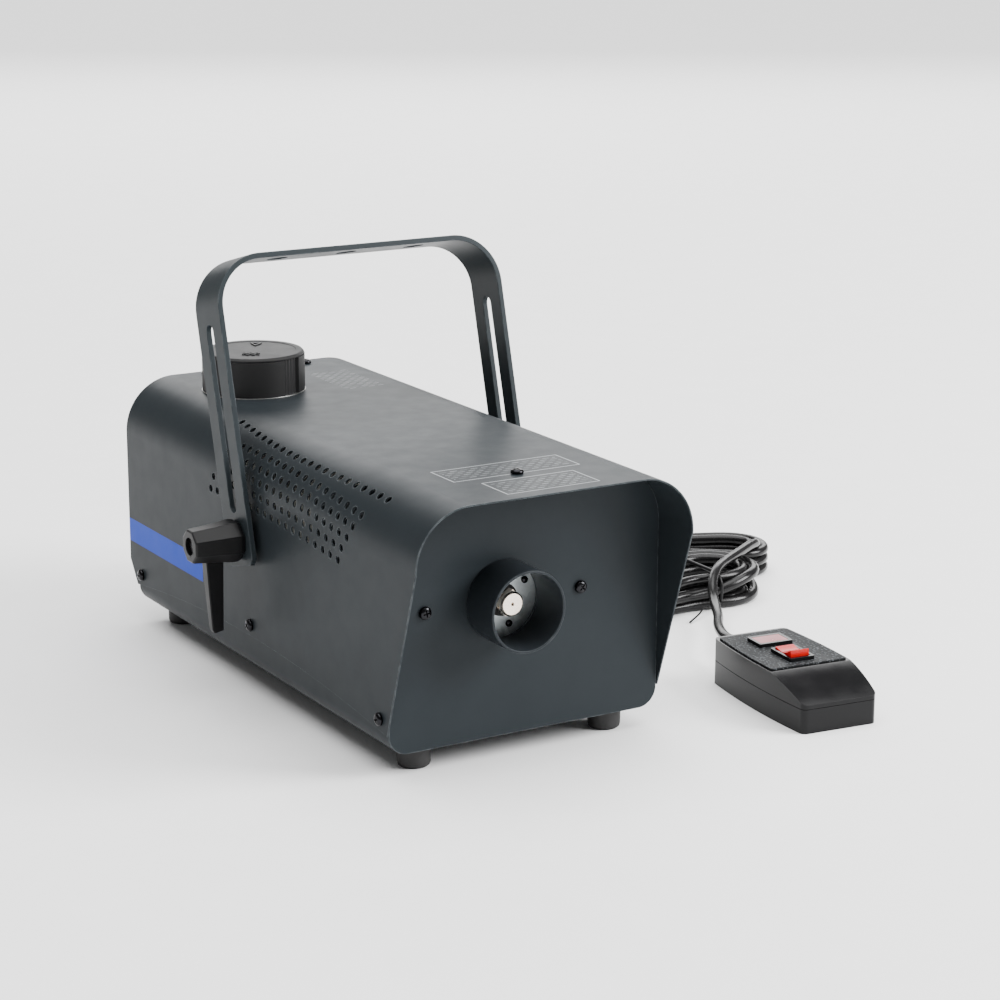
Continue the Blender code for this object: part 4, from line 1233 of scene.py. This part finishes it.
def make_fittings():
    at = REMOTE @ moved(REMOTE_WIDTH / 2, REMOTE_LENGTH + GAP, 0.016) @ BACKWARD
    relief = ribbed("remote_sleeve", 0.02, 0.0042, 0.0034, REMOTE_CABLE, 5, 0.0028)
    place(relief, BLACK_PLASTIC, at=at, nodes=("remote_relief",))

    def behind(name, extra=0.0):
        x, z, _ = REAR_FITTINGS[name]
        return MACHINE @ moved(x, PANEL_Y + GAP + extra, z) @ BACKWARD

    gland = ribbed("mains_sleeve", 0.03, 0.0064, 0.0042, MAINS_CABLE, 7, 0.0055)
    place(gland, BLACK_PLASTIC, at=behind("mains"), nodes=("mains_gland",))

    grip = [(0, 0.054), (0.016, 0.054), (0.0178, 0.0532), (0.0185, 0.0515), (0.0185, 0.0345)]
    grip += [(0.0176, 0.032), (0.015, 0.0275), (0.0124, 0.0235), (0.01, 0.021), (0.007, 0.0195)]
    grip += [(0.0068, 0.016), (0.006, 0.0158), (0.006, 0.015), (0.0064, 0.0148), (0.006, 0.011)]
    grip += [(0.0053, 0.0108), (0.0053, 0.01), (0.0057, 0.0098), (0.0053, 0.006), (0.0047, 0.0058)]
    grip += [(0.0047, 0.005), (0.0051, 0.0048), (0.0046, 0.0002), (0, 0)]
    plug = turned("plug_body", grip, 64)
    grooves = [((x, y, 0.042), (0, 0, 1)) for x, y in circle((0, 0), 0.0192, 12)]
    combine(plug, pegs("plug_grooves", grooves, 0.0013, 0.016, 16))
    at = MACHINE @ moved(*PLUG_AT) @ FORWARD
    place(soften(plug, 0.0003), BLACK_PLASTIC, at=at, nodes=("mains_plug",))
    pins = []
    pin = [(0, 0.0735), (0.0012, 0.0735), (0.0021, 0.0722), (0.0024, 0.07), (0.0024, 0.05), (0, 0.05)]
    for name, sign in SIDES:
        spot = at @ moved(sign * 0.0095, 0, 0)
        pins.append(place(soften(turned(f"plug_pin_{name}", pin, 32), 0.0001, 1), NICKEL, at=spot))

    head = [(0, 0.042), (0.0033, 0.042), (0.0036, 0.0416), (0.0045, 0.034), (0.0055, 0.0262), (0.008, 0.0255)]
    head += [(0.0085, 0.0248), (0.0085, 0.02), (0.008, 0.0196), (0.008, 0.0186), (0.0086, 0.0182)]
    head += [(0.0088, 0.003), (0.009, 0.0026), (0.009, 0), (0, 0)]
    connector = soften(turned("cable_connector", head, 64), 0.0002)
    place(connector, BLACK_PLASTIC, at=behind("remote", 0.004 + GAP), nodes=("remote_connector",))
    socket = [(0, 0.004), (0.0102, 0.004), (0.0108, 0.0034), (0.011, 0), (0, 0)]
    flange = soften(turned("socket_flange", socket, 64), 0.0002)
    place(flange, STUD_STEEL, at=behind("remote"), nodes=("remote_socket",))

    seat = [(0, 0.004), (0.0078, 0.004), (0.0084, 0.0034), (0.0086, 0), (0, 0)]
    holder = soften(turned("fuse_socket", seat, 64), 0.0002)
    place(holder, BLACK_PLASTIC, at=behind("fuse"), nodes=("fuse_holder",))
    knob = [(0, 0.0075), (0.0056, 0.0075), (0.0063, 0.0068), (0.0064, 0), (0, 0)]
    cap = turned("fuse_knob", knob, 64)
    combine(cap, block("fuse_slot", (-0.0045, -0.0007, 0.0058), (0.0045, 0.0007, 0.0085)))
    at = behind("fuse", 0.004 + GAP)
    place(soften(cap, 0.0002), BLACK_PLASTIC, "fuse_cap", at, ("fuse_cap",))
    return [plug, gland, *pins], [relief, connector]


make_hood()
make_liners()
make_panels()
make_screws()
make_feet()
make_nozzle()
make_cap()
make_yoke()
make_levers()
make_remote()
mains_pieces, remote_pieces = make_fittings()


# Finishes of the CAD nodes that stay as they are

NODE_FINISHES = {
    "heat_shield": ZINC,
    "heater_plate": ZINC,
    "heater_block": ALUMINIUM,
    "thermostat": BLACK_PLASTIC,
    "fluid_tank": TANK_PLASTIC,
    "cap_seal": FOOT_RUBBER,
    "pump_body": PUMP_PLASTIC,
    "pump_plunger": STUD_STEEL,
    "suction_hose": HOSE,
    "pressure_hose": HOSE,
    "circuit_board": BOARD,
    "clamp_stud_left": STUD_STEEL,
    "clamp_stud_right": STUD_STEEL,
}


def dress_nodes():
    for name, finish in NODE_FINISHES.items():
        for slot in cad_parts[name].material_slots:
            slot.material = finish.material


dress_nodes()


# Studio


def make_floor():
    floor = mesh_object("floor", lambda bm: bmesh.ops.create_grid(bm, x_segments=4, y_segments=4, size=14))
    finish = Finish("floor_paper", (0.86, 0.86, 0.86), 0.85, vary=0.01)
    floor.data.materials.append(finish.material)


def area_light(name, spot, target, size, power):
    data = bpy.data.lights.new(name, "AREA")
    data.shape = "RECTANGLE"
    data.size, data.size_y = size
    data.energy = power
    light = new_object(name, data)
    light.location = spot
    aim = Vector(target) - Vector(spot)
    light.rotation_euler = aim.to_track_quat("-Z", "Y").to_euler()


def make_studio():
    make_floor()
    world = bpy.data.worlds.new("studio")
    world.use_nodes = True
    background = world.node_tree.nodes["Background"]
    background.inputs["Color"].default_value = (1.0, 1.0, 1.0, 1.0)
    background.inputs["Strength"].default_value = 0.32
    bpy.context.scene.world = world
    middle = (0.0, 0.0, 0.08)
    overhead = bpy.data.lights.new("overhead", "SUN")
    overhead.energy = 5.6
    overhead.angle = radians(70)
    new_object("overhead", overhead)
    area_light("back_softbox", (1.6, 2.8, 1.6), middle, (3.4, 1.6), 80)
    area_light("right_softbox", (1.9, -1.6, 1.4), middle, (1.4, 1.4), 170)


make_studio()
